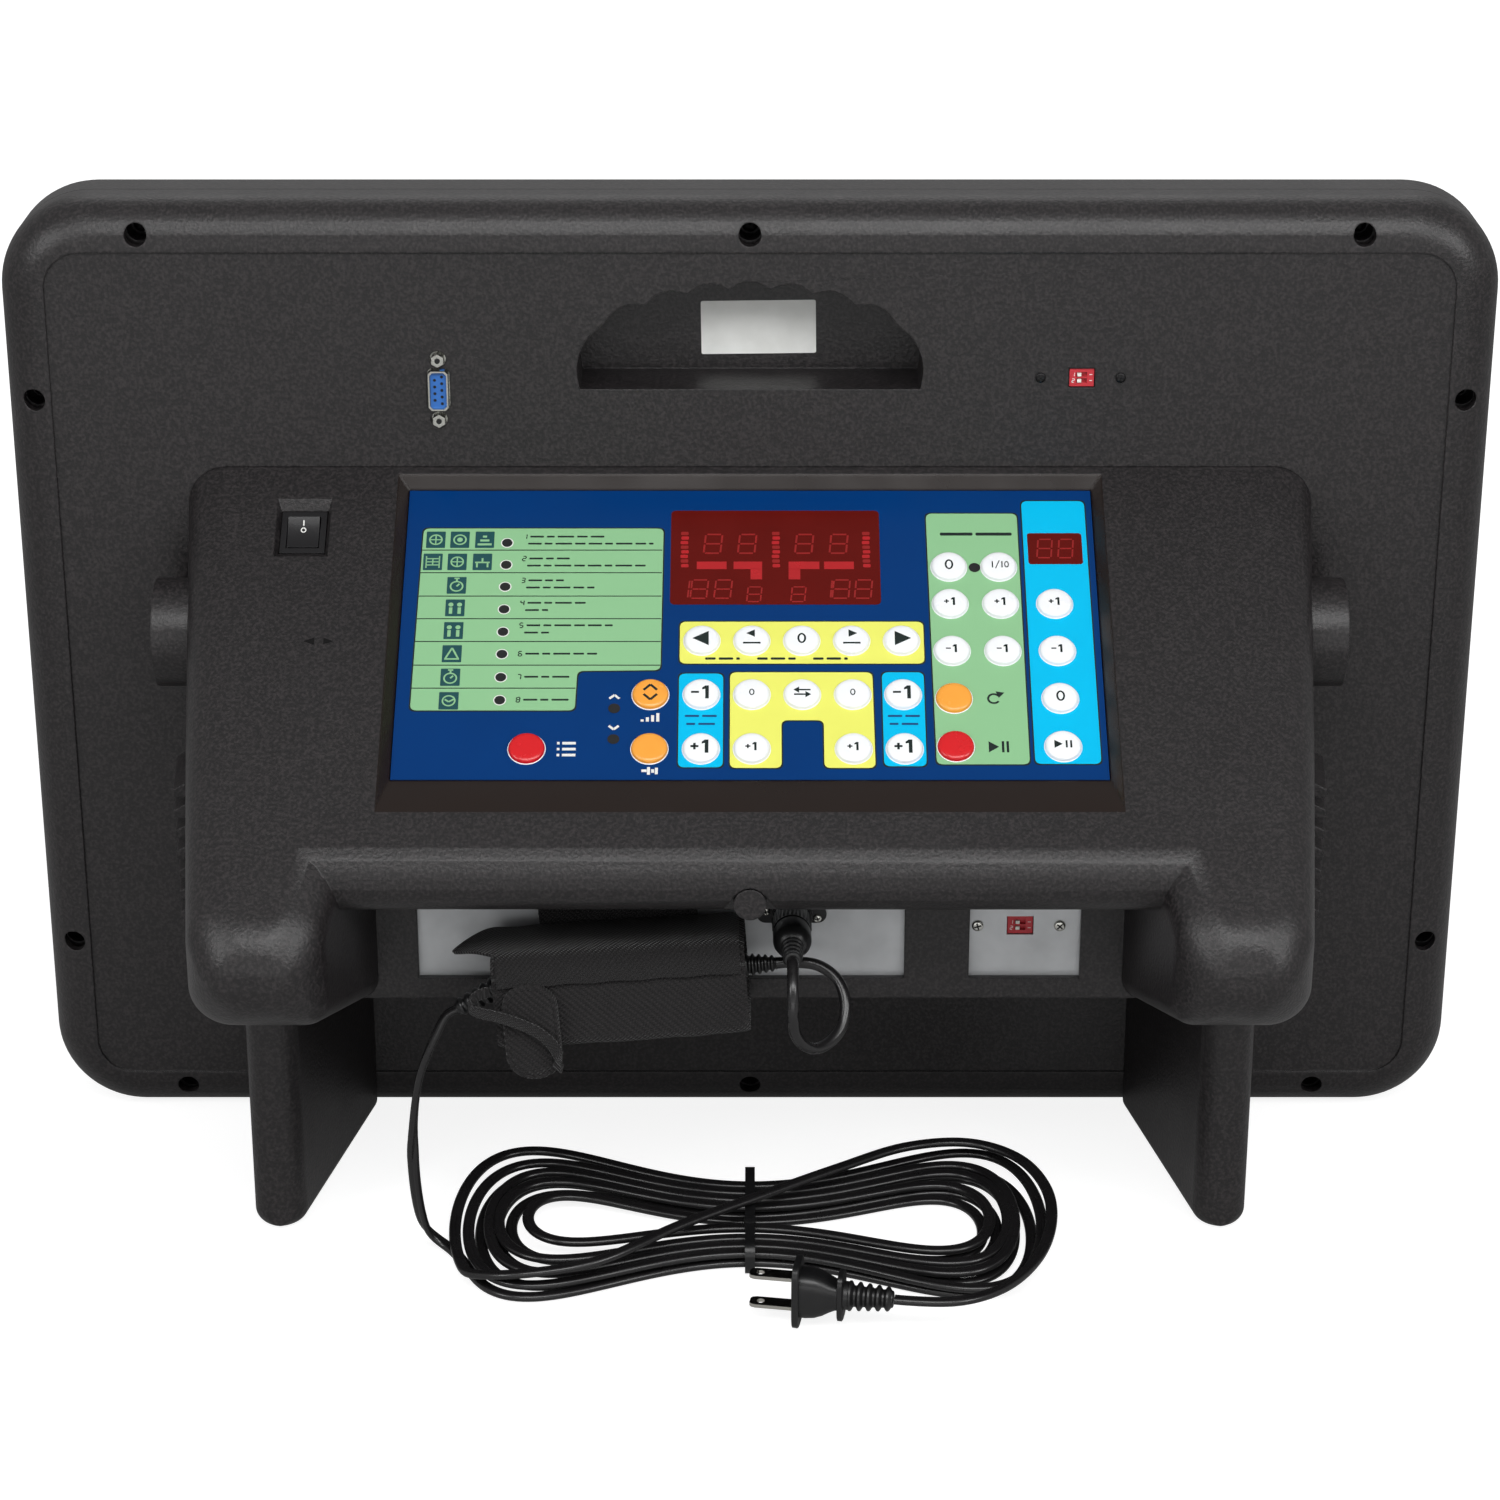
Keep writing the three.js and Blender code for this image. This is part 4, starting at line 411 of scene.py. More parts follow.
def wovenCloth(name, colour, second, thread):
    # twill on the piece's own UV map in metres: diagonal ribs a thread wide, crossed by finer threads
    material = finishOf(name, colour, cloth["roughness"], ior=cloth["ior"], Sheen_Weight=cloth["sheen"],
                        Sheen_Roughness=cloth["sheenRough"])
    tree = material.node_tree
    shader = tree.nodes["Principled BSDF"]
    own = addNode(tree, "ShaderNodeUVMap", uv_map="cloth")
    perTurn = 1000 / thread / (2 * math.pi)
    ribs = addNode(tree, "ShaderNodeTexWave", {"Vector": (own, "UV"), "Scale": perTurn * cloth["ribs"],
                                              "Distortion": 0.6, "Detail": 1.0}, bands_direction="DIAGONAL")
    turn = addNode(tree, "ShaderNodeMapping", {"Vector": (own, "UV"), "Rotation": (0.0, 0.0, math.pi / 2)})
    weft = addNode(tree, "ShaderNodeTexWave", {"Vector": (turn, "Vector"), "Scale": perTurn * cloth["weft"],
                                              "Distortion": 0.3}, bands_direction="DIAGONAL")
    height = addNode(tree, "ShaderNodeMath", {0: (ribs, "Fac"), 1: (weft, "Fac")}, operation="ADD")
    bump = addNode(tree, "ShaderNodeBump", {"Height": (height, "Value"), "Distance": cloth["relief"] / 1000,
                                            "Strength": 1.0})
    tree.links.new(bump.outputs["Normal"], shader.inputs["Normal"])
    mixed = addNode(tree, "ShaderNodeMix",
                    {"Factor": (ribs, "Fac"), "A": linear(colour), "B": linear(second)}, data_type="RGBA")
    tree.links.new(mixed.outputs["Result"], shader.inputs["Base Color"])
    return material


# Spark-eroded black ABS: an even grain of 1.3 mm breaks up the highlight, and its tops catch the light
housingAbs = finishOf("mouldedBlackAbs", "#141213", 0.41, grain=(1.3, 0.18), tone=(30, "#110f10", 0.03),
                      edge=0.9, speck=(1.3, "#2c2829"), Specular_IOR_Level=0.5)
# The same ABS polished in the mould on the slopes of the keypad recess: browner and glossier
recessAbs = finishOf("polishedRecessAbs", "#1c100a", 0.24, ior=1.52, grain=(2.4, 0.02),
                     tone=(30, "#180f0b", 0.05), edge=1.8, Specular_IOR_Level=0.42)
# Cast acrylic with red smoke dye: glossy, and dark but for the bars of the lamps behind it
smokedAcrylic = finishOf("smokedAcrylic", "#9c4c4c", 0.05, ior=1.49, tone=(60, "#964646", 0.02),
                         Transmission_Weight=0.97)
# Solder mask rolled on glass epoxy: dark green with a slight orange peel
solderMask = finishOf("solderMaskGreen", "#0f1a12", 0.42, grain=(1.2, 0.02), tone=(9, "#13241a", 0.06))
# Screen-printed polyester under satin lacquer: even colour with little white haze
satin = {"Specular_IOR_Level": 0.16}
filmBlue = finishOf("printedFilmBlue", "#003571", 0.2, grain=(1.6, 0.012), tone=(22, "#00316a", 0.03),
                    **satin)
filmGreen, filmYellow, filmCyan = [
    finishOf("printedFilm" + name, colour, 0.22, ior=1.57, grain=(1.6, 0.012), tone=(18, second, 0.03),
             **satin)
    for name, colour, second in (("Green", "#8bbd8d", "#8abc8c"), ("Yellow", "#e8ea6e", "#e0e266"),
                                 ("Cyan", "#00bbe9", "#00b2e1"))]
# Screen inks on the film: flat colour, a little duller where the ink is thin
inkDark, inkNavy, inkTeal = [
    finishOf("printedInk" + name, colour, 0.24, ior=1.57, grain=(1.6, 0.01), tone=(12, second, 0.03))
    for name, colour, second in (("Black", "#10221f", "#0c1c1a"), ("Navy", "#0b3a78", "#0a356e"),
                                 ("Teal", "#124a4e", "#0f4347"))]
# Red filter film over unlit number tubes: deep red, with the tubes' bars only a shade lighter
filterRed = finishOf("redFilterFilm", "#600c06", 0.16, ior=1.57, grain=(2.0, 0.01),
                     tone=(14, "#560a05", 0.03), **satin)
barRed, barBright = [finishOf(name, colour, 0.3, ior=1.57, tone=(6, second, 0.04)) for name, colour, second in
                     (("unlitNumberBar", "#971412", "#85100f"), ("redFilterBar", "#b5151d", "#a31218"))]
# Polyester domes pressed from the film: smooth, each with one round highlight
domeWhite, domeOrange, domeRed = [
    finishOf("domedKey" + name, colour, 0.25, ior=1.57, grain=(1.4, 0.012), tone=(7, second, 0.04))
    for name, colour, second in (("White", "#f4f6f8", "#eceef1"), ("Orange", "#f6a640", "#ee9c34"),
                                 ("Red", "#d8101a", "#c80d16"))]
# Moulded nylon of the rocker and its bezel: satin, with softened edges
rockerNylon = finishOf("mouldedBlackNylon", "#161517", 0.33, grain=(0.8, 0.015), tone=(8, "#111012", 0.05),
                       edge=0.3)
# Pad-printed paint: matt and slightly uneven
paintWhite = finishOf("paintedMarkWhite", "#e9e9e6", 0.5, grain=(0.6, 0.01), tone=(4, "#dcdcd8", 0.05))
# Zinc-plated steel sheet: grey with the soft stains of passivation
zincPlate = finishOf("zincPlatedSteel", "#dee0e2", 0.44, metallic=0.45, grain=(1.5, 0.02),
                     tone=(17, "#b4b6b8", 0.08))
# Nickel, black oxide and nickelled brass: bright, dark and warm small metal parts
nickelPlate = finishOf("nickelPlatedSteel", "#cfcfc9", 0.24, metallic=1.0, grain=(1.1, 0.012),
                       tone=(7, "#b9b9b2", 0.06))
blackSteel = finishOf("blackenedSteel", "#1c1b1c", 0.3, metallic=0.6, grain=(0.7, 0.015),
                      tone=(4, "#121112", 0.06))
brassBlade = finishOf("nickelledBrassBlade", "#d8d6cf", 0.16, metallic=1.0, grain=(1.4, 0.01),
                      tone=(6, "#c4c1b8", 0.05))
# Small mouldings: plain glass-filled nylon colours with a fine grain, and among them a near-black that is
# painted shade for the insides of bores, holes and screw crosses
insulatorBlue = finishOf("mouldedBlueNylon", "#2f6fc0", 0.4, grain=(0.7, 0.015), tone=(5, "#2862ae", 0.05))
# Painted shade: near-black laid where bores, holes and screw crosses are in shadow
holeShadePaint = finishOf("darkBore", "#0a0b0e", 0.7, grain=(0.7, 0.02), tone=(3, "#060608", 0.05))
switchRed = finishOf("mouldedRedSwitch", "#c9303c", 0.38, grain=(0.6, 0.012), tone=(4, "#b8262f", 0.05),
                     edge=0.2)
leverIvory = finishOf("mouldedWhiteLever", "#f6f2ea", 0.4, grain=(0.5, 0.01), tone=(2, "#ebe6dc", 0.04))
hornCone = finishOf("mouldedHornPlastic", "#141314", 0.5, grain=(0.9, 0.02), tone=(8, "#1a191a", 0.05))
segmentPale = finishOf("frostedLampBar", "#d8c8c4", 0.5, grain=(0.8, 0.02), tone=(6, "#cfbcb8", 0.04))
# Coated paper: matt white with a faint mottle
paperLabel = finishOf("coatedPaperLabel", "#f8f9f6", 0.6, grain=(0.7, 0.015), tone=(9, "#e2e3df", 0.05))
# Extruded and moulded PVC: wet-looking highlights on soft black, duller where it is moulded
cordVinyl = finishOf("extrudedBlackVinyl", "#161516", 0.27, ior=1.54, grain=(2.6, 0.03),
                     tone=(14, "#1b1a1b", 0.05))
mouldedVinyl = finishOf("mouldedBlackVinyl", "#121213", 0.36, ior=1.54, grain=(0.9, 0.025),
                        tone=(7, "#141415", 0.06))
adapterAbs = finishOf("mouldedAdapterAbs", "#131213", 0.5, grain=(0.8, 0.03), tone=(10, "#151415", 0.05))
# Woven nylon: a twill of 1.5 mm ribs for the sleeve and a finer tape for its straps
pouchTwill = wovenCloth("wovenNylonTwill", "#0c0a0b", "#1d1a1b", 1.5)
strapWeave = wovenCloth("wovenNylonTape", "#0d0b0c", "#1a1819", 1.1)
print("materials made")

# Camera as the photograph was taken, soft lamps and a pale floor; places in metres, powers in watts

cameraView = {"place": (0.0, -1.3732, 0.7632), "down": 22.31, "lens": 90.48, "sensor": 36}
lamps = {
    "topFrontBox": {"place": (0.1, -1.2, 1.6), "aim": (0.0, -0.08, 0.22), "size": (1.5, 0.75), "power": 19.0},
    "leftBox": {"place": (-1.6, -1.2, 1.3), "aim": (0.0, 0.0, 0.2), "size": (0.8, 0.9), "power": 12.0},
    "rightBox": {"place": (1.6, -1.2, 1.3), "aim": (0.0, 0.0, 0.2), "size": (0.8, 0.9), "power": 14.0},
    "lowFrontBox": {"place": (0.0, -1.9, 0.22), "aim": (0.0, -0.05, 0.12), "size": (2.2, 0.3), "power": 4.0},
    "behindBox": {"place": (0.0, 1.3, 1.5), "aim": (0.0, 0.0, 0.3), "size": (1.6, 0.5), "power": 4.0},
}
# The floor's glow rises from near to far over the fade distances; light and mirrors see less of the room
roomLight = {"strength": 0.3, "glossy": 0.12}
paperFloor = {"colour": "#9c9c9c", "roughness": 0.9, "half": 9, "glow": (0.86, 1.0), "fade": (0.25, 1.1)}

camera = bpy.data.objects.new("camera", bpy.data.cameras.new("camera"))
camera.location = cameraView["place"]
camera.rotation_euler = (math.radians(90 - cameraView["down"]), 0, 0)
camera.data.lens = cameraView["lens"]
camera.data.sensor_width = cameraView["sensor"]
bpy.context.scene.collection.objects.link(camera)
bpy.context.scene.camera = camera
bpy.context.scene.view_settings.view_transform = "Standard"

for name, lamp in lamps.items():
    light = bpy.data.lights.new(name, "AREA")
    light.shape = "RECTANGLE"
    light.size, light.size_y = lamp["size"]
    light.energy = lamp["power"]
    holder = bpy.data.objects.new(name, light)
    holder.location = lamp["place"]
    away = np.array(lamp["place"]) - np.array(lamp["aim"])
    holder.rotation_euler = (math.atan2(math.hypot(away[0], away[1]), away[2]), 0,
                             math.atan2(away[0], -away[1]))
    bpy.context.scene.collection.objects.link(holder)


def lookedAt(tree):
    # 1 for rays from the camera and through glass, a share for mirrored ones, 0 for the rays that carry light
    path = addNode(tree, "ShaderNodeLightPath")
    mirrored = addNode(tree, "ShaderNodeMath", {0: (path, "Is Glossy Ray"), 1: roomLight["glossy"]},
                       operation="MULTIPLY")
    first = addNode(tree, "ShaderNodeMath", {0: (path, "Is Camera Ray"), 1: (mirrored, "Value")},
                    operation="MAXIMUM")
    return addNode(tree, "ShaderNodeMath", {0: (first, "Value"), 1: (path, "Is Transmission Ray")},
                   operation="MAXIMUM")


world = bpy.data.worlds.new("studio")
world.use_nodes = True
bpy.context.scene.world = world
sky = world.node_tree
low = roomLight["strength"]
dim = addNode(sky, "ShaderNodeMath", {0: (lookedAt(sky), "Value"), 1: 1 - low, 2: low},
              operation="MULTIPLY_ADD")
sky.nodes["Background"].inputs["Color"].default_value = (1, 1, 1, 1)
sky.links.new(dim.outputs["Value"], sky.nodes["Background"].inputs["Strength"])

floorMesh = bpy.data.meshes.new("studioFloor")
half = paperFloor["half"]
floorMesh.from_pydata([(-half, -half, 0), (half, -half, 0), (half, half, 0), (-half, half, 0)], [],
                      [(0, 1, 2, 3)])
floor = bpy.data.objects.new("studioFloor", floorMesh)
bpy.context.scene.collection.objects.link(floor)
paper = bpy.data.materials.new("whitePaperFloor")
paper.use_nodes = True
tree = paper.node_tree
shade = tree.nodes["Principled BSDF"]
shade.inputs["Base Color"].default_value = linear(paperFloor["colour"])
shade.inputs["Roughness"].default_value = paperFloor["roughness"]
spot = addNode(tree, "ShaderNodeTexCoord")
away = addNode(tree, "ShaderNodeVectorMath", {0: (spot, "Object")}, operation="LENGTH")
(near, far), (nearGlow, farGlow) = paperFloor["fade"], paperFloor["glow"]
fade = addNode(tree, "ShaderNodeMapRange", {"Value": (away, "Value"), "From Min": near, "From Max": far,
                                            "To Min": nearGlow, "To Max": farGlow})
glow = addNode(tree, "ShaderNodeEmission", {"Color": (1, 1, 1, 1), "Strength": (fade, "Result")})
both = addNode(tree, "ShaderNodeAddShader", {0: (shade, "BSDF"), 1: (glow, "Emission")})
pick = addNode(tree, "ShaderNodeMixShader",
               {"Fac": (lookedAt(tree), "Value"), 1: (shade, "BSDF"), 2: (both, "Shader")})
tree.links.new(pick.outputs["Shader"], tree.nodes["Material Output"].inputs["Surface"])
floorMesh.materials.append(paper)
print("camera, lamps and floor set")

# Leads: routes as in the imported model, in mm from the rear face

mains = {"width": 4.8, "height": 3.3, "core": 1.5, "diameter": 4.8, "stub": 4.8, "rise": 5.1, "step": 2.4,
         "around": 28, "ease": 11, "bell": 2.2}
lowVoltage = {"diameter": 4.5, "stub": 4.5, "step": 1.6}
hank = {"reach": 107, "halfLength": 91, "waist": 3.2, "lobe": 45, "pitch": 6.2, "waistPitch": 6,
        "lobePitch": 13, "layerPitch": 5.6, "floorGap": 0.4, "loops": 8, "layers": 2, "start": 0.9 * math.pi,
        "climb": 0.4, "nest": 0.6, "nestRun": 0.5, "settle": 0.72, "stray": 1.5, "wander": 0.3, "lift": 0.8,
        "points": 90}
adapterPlace = {"x": -49.99, "reach": 127.9, "height": 127.5, "tilt": 4.1, "half": 43.0, "droop": 26.0,
                "deep": 31.0, "tall": 27.0, "round": 3.0, "mainsRelief": 24.0, "lowRelief": 17.0, "lip": 0.3}


def spline(points, steps=14):
    # centripetal curve through the points: on each span a cubic with the square root of its length as time
    p = np.asarray(points, float)
    p = np.vstack([2 * p[0] - p[1], p, 2 * p[-1] - p[-2]])
    p0, p1, p2, p3 = p[:-3], p[1:-2], p[2:-1], p[3:]
    d0, d1, d2 = [np.sqrt(np.linalg.norm(b - a, axis=1))[:, None] for a, b in ((p0, p1), (p1, p2), (p2, p3))]
    t1 = ((p1 - p0) / d0 - (p2 - p0) / (d0 + d1) + (p2 - p1) / d1) * d1
    t2 = ((p2 - p1) / d1 - (p3 - p1) / (d1 + d2) + (p3 - p2) / d2) * d1
    u = np.linspace(0, 1, steps, endpoint=False)[None, :, None]
    curve = (p1[:, None] + t1[:, None] * u + (3 * (p2 - p1) - 2 * t1 - t2)[:, None] * u ** 2
             + (2 * (p1 - p2) + t1 + t2)[:, None] * u ** 3)
    return np.vstack([curve.reshape(-1, 3), p2[-1:]])


def evenly(path, spacing):
    # the same line with its points a fixed distance apart
    run = np.r_[0, np.cumsum(np.linalg.norm(np.diff(path, axis=0), axis=1))]
    at = np.linspace(0, run[-1], max(int(run[-1] / spacing), 8))
    return np.stack([np.interp(at, run, path[:, k]) for k in range(3)], -1)


def swept(path, outline, soften=7):
    # an outline of (side, lift) carried along a path; the side stays level, averaged over neighbours
    along = np.gradient(path, axis=0)
    along /= np.linalg.norm(along, axis=1)[:, None]
    side = np.stack([-along[:, 1], along[:, 0], np.zeros(len(along))], -1)
    kernel = np.ones(soften) / soften
    padded = np.vstack([np.repeat(side[:1], soften // 2, 0), side, np.repeat(side[-1:], soften // 2, 0)])
    side = np.stack([np.convolve(padded[:, k], kernel, "valid") for k in range(3)], -1)
    side -= along * np.sum(side * along, 1)[:, None]
    side /= np.linalg.norm(side, axis=1)[:, None]
    lift = np.cross(along, side)
    o = np.asarray(outline, float)
    return path[:, None] + side[:, None] * o[None, :, :1] + lift[:, None] * o[None, :, 1:2]


def hankLine(turns):
    # figure of loops with a narrow waist: x = length cos a, spread = sin a (waist + lobe cos^2 a)
    h = hank

    def ease(s):
        # smooth step: 3 s^2 - 2 s^3
        return s * s * (3 - 2 * s)

    perLayer = h["loops"] / h["layers"]
    layer = np.minimum(np.floor(turns / perLayer), h["layers"] - 1)
    within = turns - layer * perLayer
    nest = h["nest"] * ease(np.clip(within / h["nestRun"], 0, 1))
    order = np.where(layer % 2 == 0, perLayer - within, within + nest)
    angle = h["start"] - 2 * math.pi * turns
    climb = np.where(layer < h["layers"] - 1, np.clip((within - perLayer + h["climb"]) / h["climb"], 0, 1), 0)
    lobes = np.cos(angle) ** 2
    settled = np.sin(np.clip(np.minimum(turns, h["loops"] - turns), 0, 1) * math.pi / 2)
    stray = h["stray"] * lobes * np.sin(turns * 2.7 + 0.8) * settled
    order = order + h["wander"] * lobes * settled * np.sin(turns * 4.4 + np.sin(turns * 1.3) * 2)
    height = mains["height"] / 2 + h["floorGap"] + h["layerPitch"] * h["settle"] * (layer + ease(climb))
    height += h["lift"] * lobes * (1 + np.sin(turns * 5.1)) * np.clip(turns, 0, 1)
    x = (h["halfLength"] + h["pitch"] * order + stray) * np.cos(angle)
    spread = np.sin(angle) * (h["waist"] + h["waistPitch"] * order
                              + (h["lobe"] + h["lobePitch"] * order) * lobes)
    return np.stack([x, h["reach"] + spread, height], -1)


tilt = math.radians(adapterPlace["tilt"])
droop = tilt + math.radians(adapterPlace["droop"])
adapterAt = np.array([adapterPlace["x"], adapterPlace["reach"], adapterPlace["height"]])
adapterWay = np.array([math.cos(tilt), 0, math.sin(tilt)])
droopWay = np.array([math.cos(droop), 0, math.sin(droop)])
reliefTip = adapterPlace["mainsRelief"] + adapterPlace["lip"]
mainsStart = adapterAt - adapterPlace["half"] * adapterWay - reliefTip * droopWay
loops = hankLine(np.linspace(0, hank["loops"], hank["loops"] * hank["points"] + 1))


def wayOf(a, b):
    # unit vector from one point to another
    return (b - a) / np.linalg.norm(b - a)


lead = [mainsStart, mainsStart - mains["stub"] * droopWay, (-124.3, 130, 98), (-129.5, 130, 84),
        (-132.3, 130, 67), (-133.4, 129.5, 50), (-133, 128, 34), (-132, 124, 20), (-130, 120, 9.5),
        (-125.5, 119, 4), (-119.5, 124, 2.6), loops[0] - mains["stub"] * wayOf(loops[0], loops[1])]
plugSpot = {"x": 29.0, "reach": 177.5, "height": 13.8, "turn": 9.5, "tip": 27.3}
plugWay = np.array([math.cos(math.radians(plugSpot["turn"])), math.sin(math.radians(plugSpot["turn"])), 0])
plugAt = np.array([plugSpot["x"], plugSpot["reach"], plugSpot["height"]])
tailEnd = plugAt + plugSpot["tip"] * plugWay
tailLine = [loops[-1] + mains["rise"] * wayOf(loops[-2], loops[-1]), (-94, 160, 12), (-62, 155, 14.5),
            (-28, 128, 16), (4, 104, 16), (36, 80, 15.5), (66, 60, 15), (92, 56, 14.5), (111, 68, 14),
            (121, 92, 13), (121, 120, 12), (113, 148, 11.5), (98, 171, 12), (80, 182.5, 13.2),
            tailEnd + mains["diameter"] * plugWay, tailEnd]
mainsPath = evenly(np.vstack([spline(lead)[:-1], spline(np.vstack([lead[-1], loops[:1]]))[:-1], loops,
                              spline(tailLine)]), mains["step"])
# Corners are eased by a bell-weighted moving mean over about 26 mm, and the ends are kept
weights = np.exp(-np.linspace(-mains["bell"], mains["bell"], mains["ease"]) ** 2)
kept = mains["ease"] // 2
for k in range(3):
    mainsPath[kept:-kept, k] = np.convolve(mainsPath[:, k], weights / weights.sum(), "valid")
# Section of the twin lead: two circles side by side, seen from their middle
turn = np.linspace(0, 2 * math.pi, mains["around"], endpoint=False)
core, apart = mains["core"], mains["width"] / 2 - mains["core"]
circle = np.stack([np.cos(turn), np.sin(turn)], -1)
twoCore = (apart * np.abs(np.cos(turn)) + np.sqrt(core ** 2 - (apart * np.sin(turn)) ** 2))[:, None] * circle


def lengthOf(path):
    # length of a line of points in mm
    return float(np.linalg.norm(np.diff(path, axis=0), axis=1).sum())


mainsCord = makePiece("mainsCord", [skin(onCase(swept(mainsPath, twoCore)))], "base", "cord", [cordVinyl],
                      smooth=60)
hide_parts("mains_lead", "mains_hank", "mains_tail")

dcStart = adapterAt + (adapterPlace["half"] + adapterPlace["lowRelief"] + adapterPlace["lip"]) * adapterWay
dcLine = [dcStart, dcStart + [lowVoltage["stub"], 0, lowVoltage["stub"] * math.sin(tilt)], (26, 129, 131.5),
          (33.5, 133, 127.5), (36.8, 139, 121), (35.6, 145, 113.5), (31, 151, 109.5), (25, 157, 109.5),
          (20, 161, 113.5), (17.2, 163.3, 119), (16.4, 164.3, 124.5), (16.3, 164, 130), (16.3, 161.4, 137),
          (16.3, 156.5, 141), (16.3, 152.6, 143.4), (16.3, 150.3, 143.4)]
dcPath = evenly(spline(dcLine), lowVoltage["step"])
roundOutline = lowVoltage["diameter"] / 2 * circle
dcCord = makePiece("dcCord", [skin(onCase(swept(dcPath, roundOutline)))], "base", "cord", [cordVinyl],
                   smooth=60)
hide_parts("dc_lead")
print("cords laid:", round(lengthOf(mainsPath)), "mm and", round(lengthOf(dcPath)), "mm")

# Housings: smooth copies of the moulded shells

# Half width, rows and depths off the deck between which a face belongs to the keypad recess
recessSeen = {"half": 141.5, "rows": (4.0, 169.8), "off": (-5.6, -0.02)}


def inRecess(centres):
    # 1 for faces of the sunk frame round the keypad: inside its outline and below the deck
    y, z = centres[:, 1] - place["caseShift"], centres[:, 2] - place["deckTop"]
    row, off = -(y * slopeCos + z * slopeSin), z * slopeCos - y * slopeSin
    (first, last), (lowest, highest) = recessSeen["rows"], recessSeen["off"]
    within = (row > first) & (row < last) & (off < highest) & (off > lowest)
    return within & (np.abs(centres[:, 0]) < recessSeen["half"])


smoothCopy("consoleHousing", "console_shell", "housing", [housingAbs, recessAbs], chooser=inRecess)
for name, node, slotName, material in (
        ("rearHousing", "rear_cover", "housing", housingAbs),
        ("frontHousing", "front_bezel", "housing", housingAbs),
        ("leftLeg", "leg_left", "housing", housingAbs), ("rightLeg", "leg_right", "housing", housingAbs),
        ("hornHousing", "horn_speaker", "horn", hornCone),
        ("rockerBezel", "rocker_frame", "switch", rockerNylon),
        ("rockerButton", "rocker_key", "switch", rockerNylon),
        ("portShell", "data_port", "port_metal", nickelPlate),
        ("socketBody", "power_socket", "switch", rockerNylon)):
    smoothCopy(name, node, slotName, [material])
finishes = {"display_lens": smokedAcrylic, "display_board": solderMask, "keypad_board": solderMask,
            "keypad_panel": filmBlue, "socket_plate": zincPlate, "dip_plate": zincPlate,
            "upper_dip_body": switchRed, "lower_dip_body": switchRed}
finishes.update({name: leverIvory for name in frame["nodes"] if "_lever_" in name})
for name, material in finishes.items():
    node = frame["nodes"][name]
    for i in range(len(node.data.materials)):
        node.data.materials[i] = material
print("housings dressed")

# Keypad film: printed areas, ink lines and number windows, stacked by a few hundredths of a millimetre

# Heights of the layers over the panel's face; sunk is how far a layer starts inside the one below it
film = {"panel": -5.0, "border": 0.06, "area": 0.10, "ink": 0.14, "glyph": 0.18, "sunk": 0.05,
        "cornerRadius": 2.6, "rimOut": 0.45, "rimIn": 0.1, "rule": 0.45, "lampColumn": -96.7,
        "lampRadius": 2.1, "lampRing": 2.5, "holeRadius": 2.3}
areas = {
    "green": [[(-130.4, 28.5), (-34.4, 28.5), (-34.7, 99.7), (-67.0, 100.1), (-67.5, 119.2), (-131.2, 119.2)],
              [(70.3, 20.8), (106.9, 20.8), (106.9, 144.8), (71.2, 144.8)]],
    "yellow": [[(-27.5, 75.7), (68.0, 75.7), (68.0, 96.5), (-27.5, 96.5)],
               [(-7.8, 100.6), (47.6, 100.6), (48.0, 146.5), (28.3, 146.5), (28.3, 123.9), (12.2, 123.9),
                (12.2, 146.5), (-7.8, 146.5)]],
    "cyan": [[(-27.6, 101.2), (-10.3, 101.2), (-10.3, 146.2), (-27.6, 146.2)],
             [(51.1, 100.6), (67.5, 100.6), (67.5, 145.7), (51.1, 145.7)],
             [(108.8, 14.3), (134.2, 14.3), (134.2, 144.6), (108.8, 144.6)]],
}
legendRows = (39.7, 51.2, 63.0, 74.3, 85.6, 97.2, 108.4)
modeLamps = (36.0, 47.2, 58.3, 69.6, 80.8, 91.8, 103.1, 114.2)
legend = ((31, 50), (16, 47), (14, 27), (23, 9), (35, 11), (28, 0), (19.5, 0), (19.5, 0))
# Slots of the print; the hole slot is painted shade for the holes in the film
printSlots = [filmGreen, filmYellow, filmCyan, inkDark, inkTeal, paintWhite, filterRed, barRed, barBright,
              holeShadePaint, inkNavy]
green, yellow, cyan, ink, teal, white, window, dimBar, litBar, hole, inkBlue = range(11)
flat = film["panel"]
keypadParts = []


def printed(outline, low, high, index, holes=()):
    # one flat layer of ink on the film
    keypadParts.append((*slab([np.asarray(outline, float), *holes], flat + low, flat + high, onDeck), index))


def stroke(start, end, width):
    # bar from one point to another with square ends
    a, b = np.asarray(start, float), np.asarray(end, float)
    along = (b - a) / np.linalg.norm(b - a)
    side = np.array([-along[1], along[0]]) * width / 2
    return np.array([a - side, b - side, b + side, a + side])


def ringOf(x, y, radius, steps=24):
    # circle as an outline
    t = np.linspace(0, 2 * math.pi, steps, endpoint=False)
    return np.stack([x + radius * np.cos(t), y + radius * np.sin(t)], -1)


def grown(outline, by):
    # outline moved outward by an equal distance: each corner goes along the sum of its edges' normals
    p = np.asarray(outline, float)
    area = np.sum(p[:, 0] * np.roll(p[:, 1], -1) - np.roll(p[:, 0], -1) * p[:, 1])
    edge = np.roll(p, -1, 0) - p
    normal = np.stack([edge[:, 1], -edge[:, 0]], -1) / np.linalg.norm(edge, axis=1)[:, None] * np.sign(area)
    before = np.roll(normal, 1, 0)
    both = normal + before
    return p + both / (1 + np.sum(normal * before, 1))[:, None] * by


